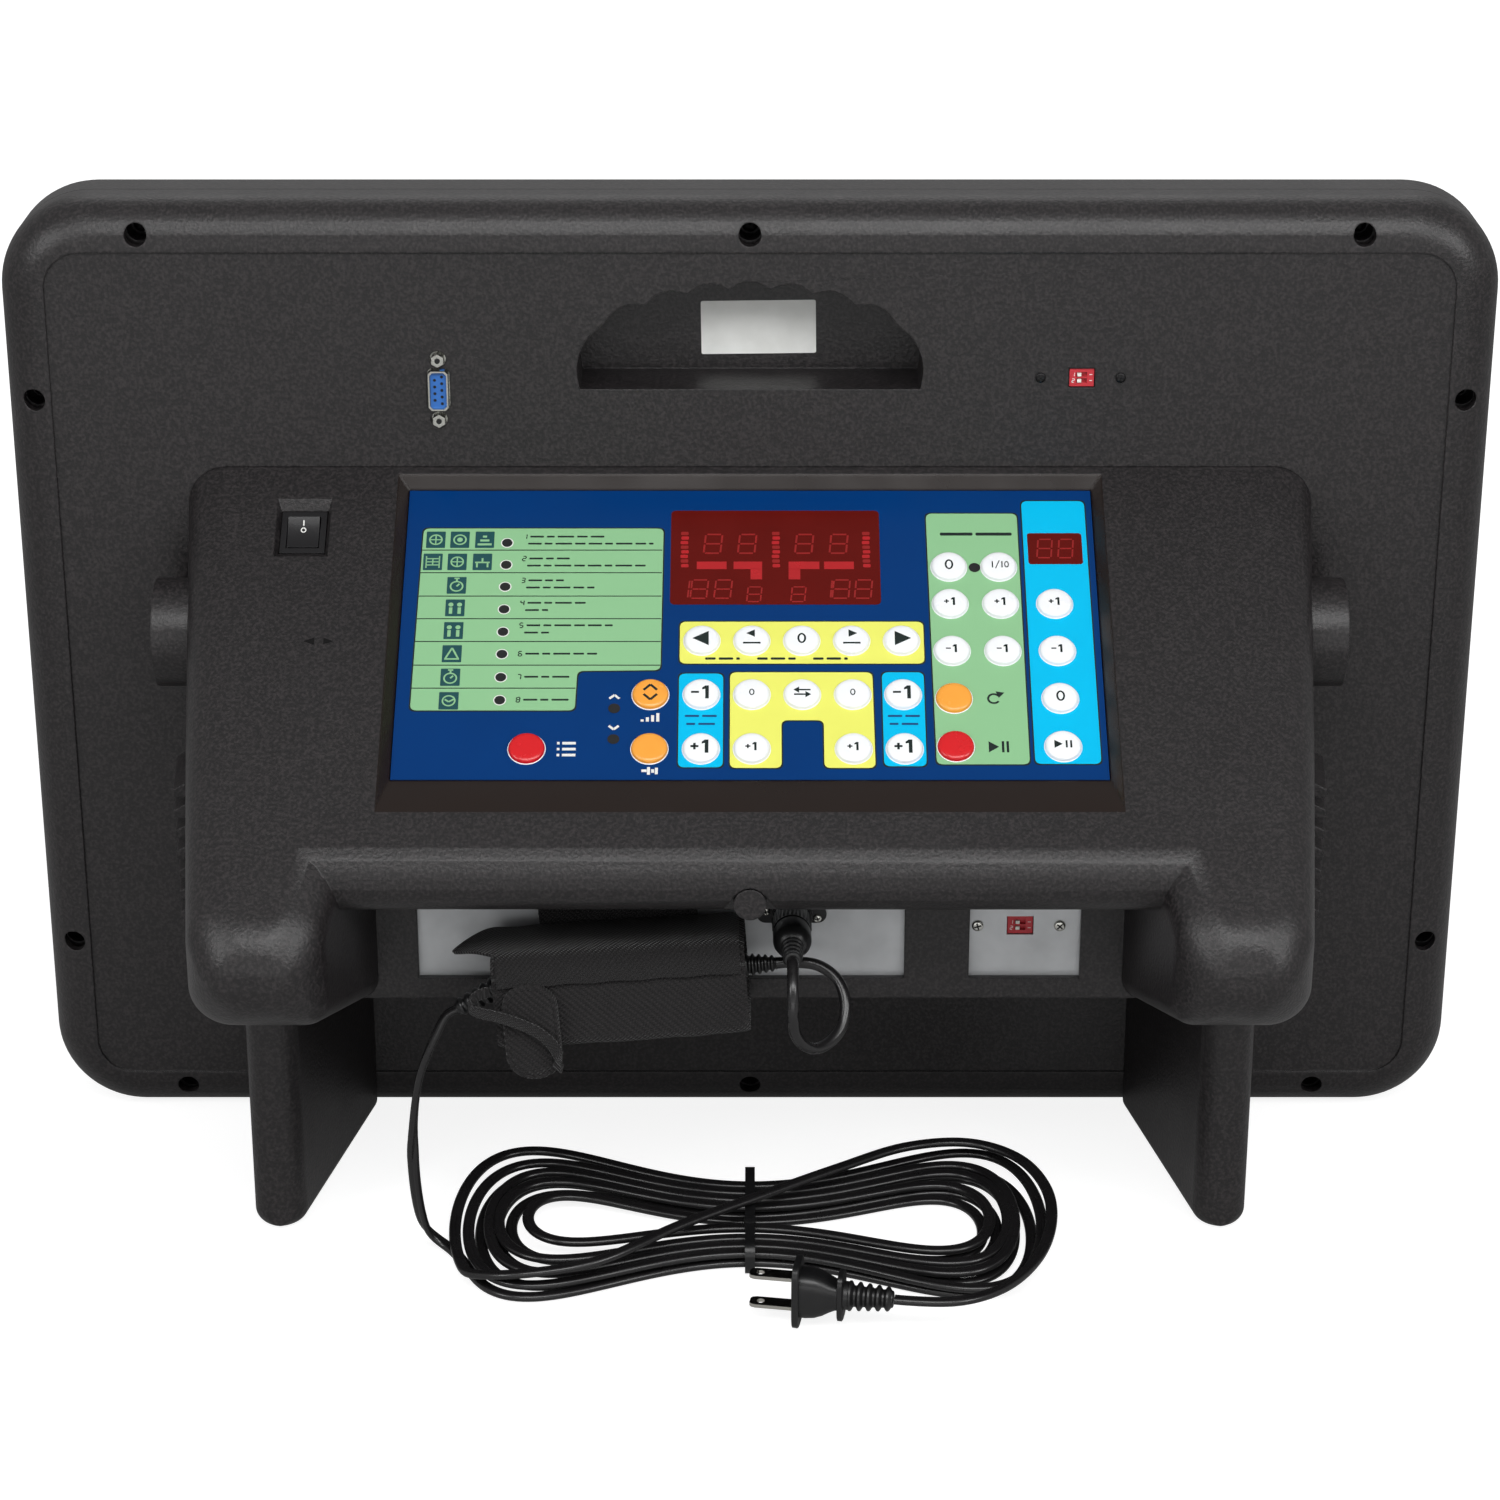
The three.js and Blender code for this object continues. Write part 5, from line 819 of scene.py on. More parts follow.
for name, index in (("green", green), ("yellow", yellow), ("cyan", cyan)):
    for shape in areas[name]:
        printed(roundedCorners(grown(shape, film["rimOut"]), film["cornerRadius"]), 0.0, film["border"], ink)
        printed(roundedCorners(grown(shape, -film["rimIn"]), film["cornerRadius"]), 0.0, film["area"], index)
onArea, onInk = film["area"] - film["sunk"], film["ink"] - film["sunk"]
for row in legendRows:
    left, right = -131.0 - (row - 60) * 0.004, -34.9 if row < 99 else -67.6
    printed(stroke((left, row), (right, row), film["rule"]), onArea, film["ink"], ink)
# Mode lamps: a white ring each, and inside it a dark disc of painted shade where the lamp's hole is; the other
# holes get the same painted shade
for row in modeLamps:
    printed(ringOf(film["lampColumn"], row, film["lampRing"]), onArea, film["ink"], white)
    printed(ringOf(film["lampColumn"], row, film["lampRadius"]), onArea, film["glyph"], hole)
printed(ringOf(89.0, 48.6, film["holeRadius"]), onArea, film["glyph"], hole)
for row in (118.1, 132.8):
    printed(ringOf(-52.4, row, film["holeRadius"]), 0.0, film["ink"], hole)


def dashes(x, y, length, height, index, words=(5.4, 3.1, 6.6, 4.2), space=1.2):
    # a run of plain strokes of a few lengths, where the real panel has a line of words
    end, k = x + length, 0
    while x < end - 1.0:
        reach = min(words[k % len(words)], end - x)
        printed(rounded(reach, height, height * 0.3, 2, (x + reach / 2, y)), onArea, film["glyph"], index)
        x, k = x + reach + space, k + 1


legendText = {"column": -87.6, "indent": 0.8, "high": 0.85, "up": 3.2, "centred": 0.2, "gap": 3.6,
              "number": -2.0}
for row, (first, second) in zip(modeLamps, legend):
    high = row - legendText["up" if second else "centred"]
    dashes(legendText["column"], high, first, legendText["high"], ink)
    dashes(legendText["column"] - legendText["indent"], high + legendText["gap"], second, legendText["high"],
           ink)
for x, y, length in ((-10.7, 94.0, 13.5), (10.3, 94.0, 15.0), (31.3, 94.0, 13.5)):
    dashes(x - length / 2, y, length, 1.1, ink, (4.1, 5.6))
for x in (-18.9, 59.3):
    dashes(x - 6.2, 121.8, 12.4, 0.9, inkBlue, (5.5, 5.6))
    dashes(x - 5.6, 125.6, 11.2, 0.9, inkBlue, (3.4, 6.4))
dashes(75.8, 31.5, 28.6, 1.5, ink, (13.0, 14.4))

# Pictogram tiles with plain signs: balls, nets, watches, a metronome and clocks
tiles = [(-125.2, 34.4, "ball"), (-115.6, 34.4, "target"), (-105.7, 34.4, "steps"), (-125.9, 45.7, "net"),
         (-116.2, 45.7, "ball"), (-106.2, 45.7, "table"), (-115.9, 57.6, "watch"), (-116.0, 68.9, "pair"),
         (-116.1, 80.2, "pair"), (-116.2, 91.6, "beat"), (-116.3, 103.1, "watch"), (-116.4, 114.5, "clock")]
tile = {"width": 7.6, "height": 8.4, "corner": 0.3, "line": 0.7, "ring": 2.7, "ringLine": 0.6, "sunk": 0.04}
# Of a sign: its ring by the drop below the middle, discs as (across, down, radius, steps), and strokes that
# follow their width
tileRings = {"ball": 0, "target": 0, "clock": 0, "watch": 0.5}
tileDiscs = {"target": [(0, 0, 1.1, 24)], "pair": [(-1.7, -1.6, 1.0, 14), (1.7, -1.6, 1.0, 14)]}
tileStrokes = {
    "ball": (0.5, ((-2.4, 0), (2.4, 0)), ((0, -2.4), (0, 2.4))),
    "steps": (1.0, ((-2.8, 2.4), (2.8, 2.4)), ((-1.8, 0.4), (1.8, 0.4)), ((-0.8, -1.6), (0.8, -1.6))),
    "net": (0.5, ((-2.8, -1.6), (2.8, -1.6)), ((-2.8, 0), (2.8, 0)), ((-2.8, 1.6), (2.8, 1.6)),
            ((-2.6, -2.9), (-2.6, 3.1)), ((0, -1.6), (0, 1.6)), ((2.6, -2.9), (2.6, 3.1))),
    "table": (0.7, ((-2.9, 0.3), (2.9, 0.3)), ((0, -1.8), (0, 0.3)), ((-2.1, 0.3), (-2.1, 2.8)),
              ((2.1, 0.3), (2.1, 2.8))),
    "watch": (0.7, ((0, -3.6), (0, -2.2)), ((-1.0, -3.5), (1.0, -3.5)), ((0, 0.5), (1.1, -0.7))),
    "pair": (1.3, ((-1.7, -0.2), (-1.7, 3.0)), ((1.7, -0.2), (1.7, 3.0))),
    "beat": (0.7, ((-2.6, 2.6), (0, -2.8)), ((0, -2.8), (2.6, 2.6)), ((-2.9, 2.6), (2.9, 2.6))),
    "clock": (0.7, ((-1.5, -0.6), (0, 0.5)), ((0, 0.5), (1.9, -0.7))),
}
onTile = film["ink"] - tile["sunk"]


def lines(x, y, *pairs, width=tile["line"], index=green, low=onTile, high=film["glyph"]):
    # several strokes about one centre
    for a, b in pairs:
        printed(stroke((x + a[0], y + a[1]), (x + b[0], y + b[1]), width), low, high, index)


for x, y, sign in tiles:
    printed(rounded(tile["width"], tile["height"], tile["corner"], 2, (x, y)), onArea, film["ink"], teal)
    if sign in tileRings:
        spot = (x, y + tileRings[sign])
        printed(ringOf(*spot, tile["ring"]), onTile, film["glyph"], green,
                [ringOf(*spot, tile["ring"] - tile["ringLine"])[::-1]])
    for right, down, radius, steps in tileDiscs.get(sign, ()):
        printed(ringOf(x + right, y + down, radius, steps), onTile, film["glyph"], green)
    width, *pairs = tileStrokes.get(sign, (tile["line"],))
    lines(x, y, *pairs, width=width)

# Number windows: the seven bars of a digit as shares of its width and height, a to f clockwise and g across
bars = {"a": ((0, 0), (1, 0)), "g": ((0, 0.5), (1, 0.5)), "d": ((0, 1), (1, 1)), "f": ((0, 0), (0, 0.5)),
        "b": ((1, 0), (1, 0.5)), "e": ((0, 0.5), (0, 1)), "c": ((1, 0.5), (1, 1))}
numbers = {"lean": 0.09, "short": 0.09, "one": "bc", "two": "abged"}


def digit(x, y, width, height, thick, index, only="abcdefg", put=None):
    # the bars named in only, each a little shorter than its side, sheared by the lean
    for name in [name for name in bars if name in only]:
        a, b = np.array(bars[name], float)
        step = (b - a) * numbers["short"]
        ends = [np.array([(p[0] - 0.5) * width, (p[1] - 0.5) * height]) for p in (a + step, b - step)]
        shape = stroke(*ends, thick)
        shape[:, 0] -= shape[:, 1] * numbers["lean"]
        if put:
            put(shape + [x, y])
        else:
            printed(shape + [x, y], onInk, film["glyph"], index)


# Windows as (width, height, corner radius, centre), and rows of unlit digits as (columns, row, size, bars)
for wide, high, radius, centre in ((83.1, 47.8, 1.8, (10.05, 43.3)), (21.7, 15.9, 1.2, (121.35, 38.95))):
    printed(rounded(wide, high, radius, 4, centre), 0.0, film["ink"], window)
for columns, row, size, only in (
        ((-14.7, -1.1, 21.6, 35.3), 36.5, (6.6, 9.6, 0.75), "abcdefg"),
        ((-27.4, 28.9), 59.5, (6.4, 9.2, 0.65), "bc"),
        ((-20.0, -10.6, 36.0, 44.8), 59.5, (6.4, 9.2, 0.65), "abcdefg"),
        ((1.7, 19.1), 62.1, (5.4, 7.4, 0.6), "abcdefg"), ((117.2, 125.6), 38.9, (5.6, 9.4, 0.65), "abcdefg")):
    for x in columns:
        digit(x, row, *size, dimBar, only)
# Lamps of the window: three columns of eight small ones, and two pairs of bars, the inner ones with a tail
lampStack = {"columns": (-26.0, 10.3, 46.2), "count": 8, "top": 31.2, "pitch": 2.35, "size": (3.0, 1.7),
             "stray": 0.18}
for x in lampStack["columns"]:
    for k in range(lampStack["count"]):
        centre = (x + lampStack["stray"] * math.sin(k * 2.1), lampStack["top"] + k * lampStack["pitch"])
        printed(rounded(*lampStack["size"], 0.5, 3, centre), onInk, film["glyph"],
                litBar if k % 3 else dimBar)
lampBar = {"rows": (45.6, 49.4), "tailRows": (49.2, 54.6), "tail": 4.6}
(top, foot), (tailTop, tailFoot) = lampBar["rows"], lampBar["tailRows"]
for left, right, tail in ((-21.1, -9.3, 0), (-6.5, 4.8, 1), (15.3, 27.5, -1), (29.4, 41.2, 0)):
    printed([(left, top), (right, top), (right, foot), (left, foot)], onInk, film["glyph"], litBar)
    if tail:
        edge = right if tail > 0 else left
        inner = edge - tail * lampBar["tail"]
        printed([(edge, tailTop), (edge, tailFoot), (inner, tailFoot), (inner, tailTop)], onInk,
                film["glyph"], litBar)

# Plain numerals beside the mode lamps, and white signs where the real panel has words
numerals = ("bc", "abged", "abgcd", "fgbc", "afgcd", "afgedc", "abc", "abcdefg")
for row, (first, second), only in zip(modeLamps, legend, numerals):
    high = row - legendText["up" if second else "centred"]
    digit(legendText["column"] + legendText["number"], high, 1.25, 2.3, 0.42, ink, only)
signs = {
    "volume_key": (0, 10.6, [((-3, 1.2), (-3, 2.2)), ((-1, 0.2), (-1, 2.2)), ((1, -0.8), (1, 2.2)),
                             ((3, -1.8), (3, 2.2))]),
    "horn_key": (0, 10.4, [((-2.9, -0.2), (-0.9, -0.2)), ((-0.2, -1.9), (-0.2, 1.6)),
                           ((1.4, -0.9), (1.4, 0.7)), ((2.8, -1.6), (2.8, 1.4))]),
    "mode_key": (15.2, 0, [((a, down), (b, down))
                           for down in (-2.8, 0, 2.8) for a, b in ((-3.6, -2.6), (-1.6, 3.6))]),
}
for node, (right, down, pairs) in signs.items():
    x, row = deckPlaceOf(node)
    lines(x + right, row + down, *pairs, width=1.15, index=white, low=0.0, high=film["ink"])
for row, way in ((112.6, -1), (127.3, 1)):
    tip = (0, 0.9 * way)
    lines(-52.4, row, ((-1.9, -0.8 * way), tip), (tip, (1.9, -0.8 * way)), width=0.9, index=white, low=0.0,
          high=film["ink"])
# Play and pause beside the start key, and a turning arrow beside the reset key: an arc with its head
x, row = deckPlaceOf("clock_start_key")
printed([(x + 12.6, row - 2.6), (x + 16.6, row), (x + 12.6, row + 2.6)], onArea, film["ink"], ink)
lines(x + 19.0, row, ((-0.9, -2.6), (-0.9, 2.6)), ((0.9, -2.6), (0.9, 2.6)), width=0.95, index=ink,
      low=onArea, high=film["ink"])
x, row = deckPlaceOf("clock_reset_key")
sweep = np.linspace(0.6, 5.6, 26)
arc, inner = [np.stack([x + 15.4 + r * np.cos(sweep), row + r * np.sin(sweep)], -1) for r in (2.6, 1.75)]
printed(np.vstack([arc, inner[::-1]]), onArea, film["ink"], ink)
printed([(x + 16.2, row - 3.5), (x + 19.6, row - 2.9), (x + 17.3, row - 0.4)], onArea, film["ink"], ink)
makePiece("keypadPrint", keypadParts, "base", "overlay", printSlots, smooth=30)
print("keypad printed:", len(keypadParts), "layers")

# Keys: domes pressed up from the film, with a pale lip under the coloured ones
# A dome's profile runs from its crown down the bent skirt to the lip, as (radius, height) off the film
dome = {"radius": 6.9, "lip": 7.35, "rise": 2.05, "steps": 48, "crown": 0.93, "bend": 0.5, "skirt": 0.985,
        "sunk": 0.4, "proud": 0.03, "small": 0.62}
marks = {
    "set_key_1": "leftBig", "set_key_5": "rightBig", "set_key_2": "leftSmall", "set_key_4": "rightSmall",
    "guest_minus_key": "-1", "home_minus_key": "-1", "guest_plus_key": "+1", "home_plus_key": "+1",
    "minute_plus_key": "+1s", "second_plus_key": "+1s", "minute_minus_key": "-1s", "second_minus_key": "-1s",
    "shot_plus_key": "+1s", "shot_minus_key": "-1s", "guest_foul_key": "+1s", "home_foul_key": "+1s",
    "volume_key": "chevron", "set_key_3": "0", "score_clear_key": "0s", "foul_clear_key": "0s",
    "clock_clear_key": "0", "side_key": "swap", "clock_tenth_key": "tenth", "shot_reset_key": "0",
    "shot_start_key": "play"}


def nought(outer, inner, steps=28, right=0.0):
    # an oval ring: its outline and its hole
    hollow = ringOf(0, 0, 1, steps)
    return [hollow * outer + [right, 0], hollow[::-1] * inner + [right, 0]]


def upright(x, half, width):
    # a standing bar
    return [stroke((x, -half), (x, half), width)]


# Marks as lists of loops about the middle of a key, in mm
minus, underline = [stroke((-4.0, 0), (-0.9, 0), 0.95)], [stroke((-3.4, 2.3), (3.4, 2.3), 0.8)]
one = [[(1.5, -3.1), (2.9, -3.1), (2.9, 3.1), (1.5, 3.1), (1.5, -1.5), (0.3, -1.2), (0.3, -2.1)]]
arrow = np.array([(-3.4, -1.1), (-1.2, -2.6), (-1.2, -1.45), (3.2, -1.45), (3.2, -0.75), (-1.2, -0.75),
                  (-1.2, 0.4)])
markShapes = {
    "0": [nought((1.7, 2.5), (0.95, 1.75))], "-1": [minus, one],
    "+1": [minus, upright(-2.45, 1.55, 0.95), one],
    "tenth": [[stroke((-1.4, 2.0), (0.2, -2.0), 0.42)], upright(-2.6, 1.6, 0.5), upright(1.2, 1.6, 0.5),
              nought((0.95, 1.6), (0.5, 1.1), 24, 3.0)],
    "play": [[[(-0.3, 0), (-3.5, 1.9), (-3.5, -1.9)]], upright(1.2, 1.7, 0.75), upright(2.9, 1.7, 0.75)],
    "swap": [[arrow], [-arrow]],
    "leftBig": [[[(-3.7, 0), (2.7, -3.5), (2.7, 3.5)]]],
    "rightBig": [[[(3.7, 0), (-2.7, 3.5), (-2.7, -3.5)]]],
    "leftSmall": [[[(-2.2, -2.4), (1.2, -4.2), (1.2, -0.6)]], underline],
    "rightSmall": [[[(2.2, -2.4), (-1.2, -0.6), (-1.2, -4.2)]], underline],
    "chevron": [[stroke((side * 2.6, way * 1.0), (0, way * 3.6), 1.0)] for side in (-1, 1)
                for way in (1, -1)],
}

for node in [name for name in frame["nodes"] if name.endswith("_key") and name != "rocker_key"
             or name.startswith("set_key_")]:
    x, row = deckPlaceOf(node)
    slotName = frame["nodes"][node].data.materials[0].name
    face = {"key_white": domeWhite, "key_orange": domeOrange, "key_red": domeRed}[slotName]
    middle, axis = onDeck([x, row, flat]) * 1000, np.array([0, -slopeSin, slopeCos])
    r, top, spread = dome["radius"], dome["rise"], dome["crown"] * np.linspace(0, 1, 9)[:-1]
    crown = [(r * s, top - dome["bend"] * s ** 4) for s in spread]
    skirt = [(r * dome["crown"], top - 0.47), (r * dome["skirt"], top - 0.85), (r, top - 1.35),
             (r + 0.16, 0.35), (r + 0.3, 0.2), (dome["lip"], 0.16), (dome["lip"], -0.02), (0, -0.02)]
    points, faces = turned(middle, axis, (crown + skirt)[::-1], dome["steps"])
    radius = np.linalg.norm(points - middle - ((points - middle) @ axis)[:, None] * axis, axis=1)
    lipFace = [max(radius[i] for i in f) > r + 0.2 for f in faces]
    parts = [(points / 1000, [f for f, lip in zip(faces, lipFace) if lip == edge], edge) for edge in (0, 1)]
    sign = marks.get(node, "")
    for loops in markShapes.get(sign.rstrip("s"), ()):
        size = dome["small"] if sign.endswith("s") else 1.0
        parts.append((*slab([np.array(loop, float) * size + [x, row] for loop in loops],
                            flat + top - dome["sunk"], flat + top + dome["proud"], onDeck), 2))
    piece = makePiece("dome_" + node, parts, node, slotName, [face, domeWhite, inkDark], smooth=50)
    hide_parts(node)
print("keys domed")

# Plug of the mains lead: moulded body between two collars, ribbed relief and two polished blades

plug = {"face": -12.0, "bladeSpread": 6.35, "bladeLength": 17.4, "bladeWidth": 6.3, "bladeThick": 1.5,
        "bladeFoot": -11, "holeRadius": 1.55, "holeIn": 4.2, "ribs": 5, "reliefStart": 8.2, "reliefEnd": 26.6}
plugSide = np.array([-plugWay[1], plugWay[0], 0])


def onPlug(points):
    # (along the plug, across, up) to metres
    p = np.asarray(points, float)
    return onCase(plugAt + p[..., :1] * plugWay + p[..., 1:2] * plugSide + p[..., 2:3] * [0, 0, 1.0])


def lofted(stations, power, around=48):
    # rings (distance, half width, half height) shaped |x/a|^p + |y/b|^p = 1 and joined end to end
    s = np.asarray(stations, float)
    t = np.linspace(0, 2 * math.pi, around, endpoint=False)
    cosine, sine = [np.sign(f) * np.abs(f) ** (2 / power) for f in (np.cos(t), np.sin(t))]
    return np.stack([np.broadcast_to(s[:, :1], (len(s), around)), s[:, 1:2] * cosine, s[:, 2:3] * sine], -1)


def ribbed(start, end, wide, narrow, count, depth, tip):
    # relief profile: the radius falls evenly and dips by a raised cosine between the ribs
    x = np.linspace(start, end, count * 10 + 1)
    share = (x - start) / (end - start)
    dip = depth * np.clip(1.4 * np.sin(math.pi * share * count - math.pi / 2) ** 2 - 0.2, 0, 1)
    radius = wide + (narrow - wide) * share - dip * (1 - 0.2 * share)
    return [(float(r), float(h)) for r, h in zip(radius, x)] + [(tip, end + 0.3)]


# Collar, body, collar and neck as (rings, power of their shape)
plugParts = [(*skin(onPlug(lofted(stations, power))), 0) for stations, power in (
    ([(-12.0, 7.9, 12.9), (-11.7, 8.4, 13.4), (-9.7, 8.5, 13.5), (-9.3, 8.1, 13.1)], 5),
    ([(-9.6, 7.3, 9.6), (-7, 7.5, 9.7), (-3.5, 7.3, 9.3), (-0.5, 6.8, 8.2), (2.2, 6.2, 6.6), (4.4, 5.6, 5.6),
      (6.6, 5.4, 5.4)], 3.2),
    ([(5.3, 5.4, 9.3), (5.6, 6.1, 9.9), (7.3, 6.1, 9.9), (7.7, 5.4, 9.3)], 4),
    ([(6.6, 5.6, 5.6), (9.4, 5.6, 5.6)], 2))]
relief = [(0, plug["reliefStart"])] + ribbed(plug["reliefStart"], plug["reliefEnd"], 6.1, 4.7, plug["ribs"],
                                             1.7, 2.9)
points, faces = turned(plugAt, plugWay, relief + [(0, plug["reliefEnd"] + 0.3)], 36)
plugParts.append((*outward(onCase(points), faces), 0))
tipX = plug["face"] - plug["bladeLength"]
# One side of a blade from its foot to its tip, and the other side mirrored
edge = np.array([(plug["bladeFoot"], -plug["bladeWidth"] / 2), (tipX + 2.4, -plug["bladeWidth"] / 2),
                 (tipX + 0.7, -2.6), (tipX, -1.6)])
blade = np.vstack([edge, edge[::-1] * [1, -1]])
hole = ringOf(tipX + plug["holeIn"], 0, plug["holeRadius"], 20)
for side in (-1, 1):
    low, high = [side * plug["bladeSpread"] + way * plug["bladeThick"] / 2 for way in (-1, 1)]
    plugParts.append((*slab([blade, hole[::-1]], low, high, onPlug), 1))
mainsPlug = makePiece("mainsPlug", plugParts, "base", "cord", [mouldedVinyl, brassBlade], smooth=38)
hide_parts("mains_plug")

# Tie round the waist of the hank: a closed band with its knot

tie = {"halfWidth": 2.0, "outer": (70.6, 13.6), "inner": (68.4, 11.6), "height": 6.9, "knotAt": (12, 6.4, 0),
       "knotShape": (1, 0.7, 1.0)}


def acrossHank(points):
    # (reach from the middle, height, along X) to metres
    p = np.asarray(points, float)
    return onCase(np.stack([p[..., 2], hank["reach"] + p[..., 0], tie["height"] + p[..., 1]], -1))


band = [rounded(*tie["outer"], 5.0, 8), rounded(*tie["inner"], 4.2, 8)[::-1]]
knot = lofted([(-3.2, 1.2, 1.0), (-2.2, 2.3, 1.5), (0, 2.6, 1.8), (2.2, 2.3, 1.5), (3.2, 1.2, 1.0)], 2.6, 20)
knotSkin = skin(acrossHank(knot[..., [0, 2, 1]] * tie["knotShape"] + tie["knotAt"]))
tieParts = [(*slab(band, -tie["halfWidth"], tie["halfWidth"], acrossHank), 0), (*knotSkin, 0)]
hankTie = makePiece("hankTie", tieParts, "base", "cord", [mouldedVinyl], smooth=40)
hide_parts("hank_tie")
print("plug and tie moulded")

# Adapter: a rounded case with ribbed reliefs at its ends that slope with the leads

# Reliefs as (side, slope, length, radius at the foot, radius at the tip)
reliefs = ((-1, droop, adapterPlace["mainsRelief"], 5.1, 3.5),
           (1, -tilt, adapterPlace["lowRelief"], 5.1, 3.1))
rise = np.array([-math.sin(tilt), 0, math.cos(tilt)])
half = adapterPlace["half"]
# Stations along the case, with a rounded rim at each end and a fine seam in the middle
ends = [(-half, 0.94), (-half + 0.4, 0.97), (-half + 1.3, 1.0), (-0.6, 1.0), (-0.4, 0.985), (0.4, 0.985),
        (0.6, 1.0), (half - 1.3, 1.0), (half - 0.4, 0.97), (half, 0.94)]
outline = rounded(adapterPlace["deep"], adapterPlace["tall"], adapterPlace["round"], 8)
rings = np.stack([adapterAt + x * adapterWay + share * (outline[:, :1] * [0, 1, 0] + outline[:, 1:] * rise)
                  for x, share in ends])
adapterParts = [(*skin(onCase(rings)), 0)]
for side, slope, reach, wide, narrow in reliefs:
    away = np.array([side * math.cos(slope), 0, -math.sin(slope)])
    profile = [(0, -1.0), (5.6, -1.0), (5.6, 1.6)] + ribbed(2.0, reach, wide, narrow, 6, 1.1, 2.6)
    points, faces = turned(adapterAt + side * half * adapterWay, away, profile + [(0, reach + 0.3)], 32)
    adapterParts.append((*outward(onCase(points), faces), 1))
adapterCase = makePiece("adapterCase", adapterParts, "base", "adapter", [adapterAbs, mouldedVinyl], smooth=38)
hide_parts("power_adapter")

# Coupler in the low-voltage socket: knurled barrel, collar and a ribbed neck

coupler = {"column": 16.31, "height": 143.4, "face": 111.1, "teeth": 28, "knurl": 0.28, "grip": (2.4, 12.1)}
profile = np.array([(6.6, 0.0), (7.5, 0.25), (7.7, 0.9), (7.7, 1.6), (7.35, 1.9), (7.35, 2.2), (7.7, 2.5),
                    (7.7, 12.0), (7.35, 12.4), (7.35, 13.2), (7.0, 13.6), (7.0, 15.4), (7.45, 15.8),
                    (7.45, 21.6), (7.1, 22.6), (5.9, 24.6), (4.8, 26.0)]
                   + ribbed(26.4, 38.4, 4.7, 3.7, 4, 0.8, 2.5))
around = np.linspace(0, 2 * math.pi, coupler["teeth"] * 4, endpoint=False)
height = profile[:, 1:2]
gripped = (height > coupler["grip"][0]) & (height < coupler["grip"][1])
knurl = np.where(gripped, coupler["knurl"], 0.0) * np.cos(coupler["teeth"] * around)
radii = profile[:, :1] + knurl - np.abs(knurl).max(1, keepdims=True)
rings = np.stack(np.broadcast_arrays(coupler["column"] + radii * np.cos(around), coupler["face"] + height,
                                     coupler["height"] + radii * np.sin(around)), -1)
dcPlug = makePiece("dcPlug", [skin(onCase(rings))], "base", "cord", [mouldedVinyl], smooth=40)
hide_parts("dc_plug")

# Pouch: a sleeve of woven nylon over the adapter, with its hanger, top flap, tail and thin strap

pouch = {"x": -50.0, "reach": 127.9, "height": 127.5, "length": 97.0, "depth": 35.2, "tall": 38.4,
         "lower": 3.6, "radius": 6.0, "sag": 1.4, "crease": 0.55, "flapDrop": 5.0, "flapLeft": 64.5,
         "rows": 72, "around": 96}
# Hems as (distance beyond the end, share of the section), from the inside of the sleeve to its rim
hems = [(-7, 0.90), (-1.2, 0.90), (0.3, 0.925), (0.4, 0.955)]


def onPouch(points):
    # (along, towards the front, up) to metres: a turn by the adapter's tilt about its middle
    p = np.asarray(points, float)
    x = pouch["x"] + p[..., 0] * math.cos(tilt) - p[..., 2] * math.sin(tilt)
    z = pouch["height"] + p[..., 0] * math.sin(tilt) + p[..., 2] * math.cos(tilt)
    return onCase(np.stack([x, pouch["reach"] + p[..., 1], z], -1))


def creases(x, y, z):
    # soft folds: three long waves that run aslant, strongest towards the ends of the sleeve
    ends = 0.35 + 0.65 * (np.abs(x) / (pouch["length"] / 2)) ** 2
    folds = (np.sin(0.23 * x + 0.31 * z + 0.8) + 0.7 * np.sin(0.41 * x - 0.37 * y + 2.1)
             + 0.5 * np.sin(0.62 * z + 0.17 * x))
    return pouch["crease"] * ends * folds / 2.2


def evenLoop(outline, count):
    # the same closed outline with its points spaced evenly
    closed = np.vstack([outline, outline[:1]])
    run = np.r_[0, np.cumsum(np.linalg.norm(np.diff(closed, axis=0), axis=1))]
    at = np.linspace(0, run[-1], count, endpoint=False)
    return np.stack([np.interp(at, run, closed[:, k]) for k in (0, 1)], -1), at


section, sectionRun = evenLoop(rounded(pouch["depth"], pouch["tall"], pouch["radius"], 8), pouch["around"])
half = pouch["length"] / 2
xs = np.linspace(-half, half, pouch["rows"])[:, None]
shell = np.stack(np.broadcast_arrays(xs, section[:, 0], section[:, 1]), -1).copy()
out = section / np.linalg.norm(section, axis=1)[:, None]
fold = creases(shell[..., 0], shell[..., 1], shell[..., 2]) - pouch["crease"]
# The lower half hangs by the sag, most in the middle of the length
low = np.clip(-section[:, 1], 0, None) / pouch["tall"] * 2
sagging = pouch["sag"] * 0.6 * (1 - (xs / half) ** 2) * low
shell[..., 1] += fold * out[:, 0]
shell[..., 2] += -pouch["lower"] + fold * out[:, 1] - sagging


def hem(side, beyond, share):
    # one ring of the section past an end
    ring = section * share - [0, pouch["lower"]]
    return np.c_[np.full(len(ring), side * (half + beyond)), ring][None]


rings = np.vstack([*(hem(-1, *spot) for spot in hems), shell[1:-1], *(hem(1, *spot) for spot in hems[::-1])])
sleeve = skin(onPouch(rings))
run = np.broadcast_to(sectionRun, rings.shape[:2])
sleeveUv = np.vstack([np.stack([rings[..., 0], run], -1).reshape(-1, 2), [[-half, 0], [half, 0]]]) / 1000
sleevePiece = makePiece("pouchSleeve", [sleeve], "base", "webbing", [pouchTwill], smooth=70, uv=sleeveUv)
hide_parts("adapter_pouch")


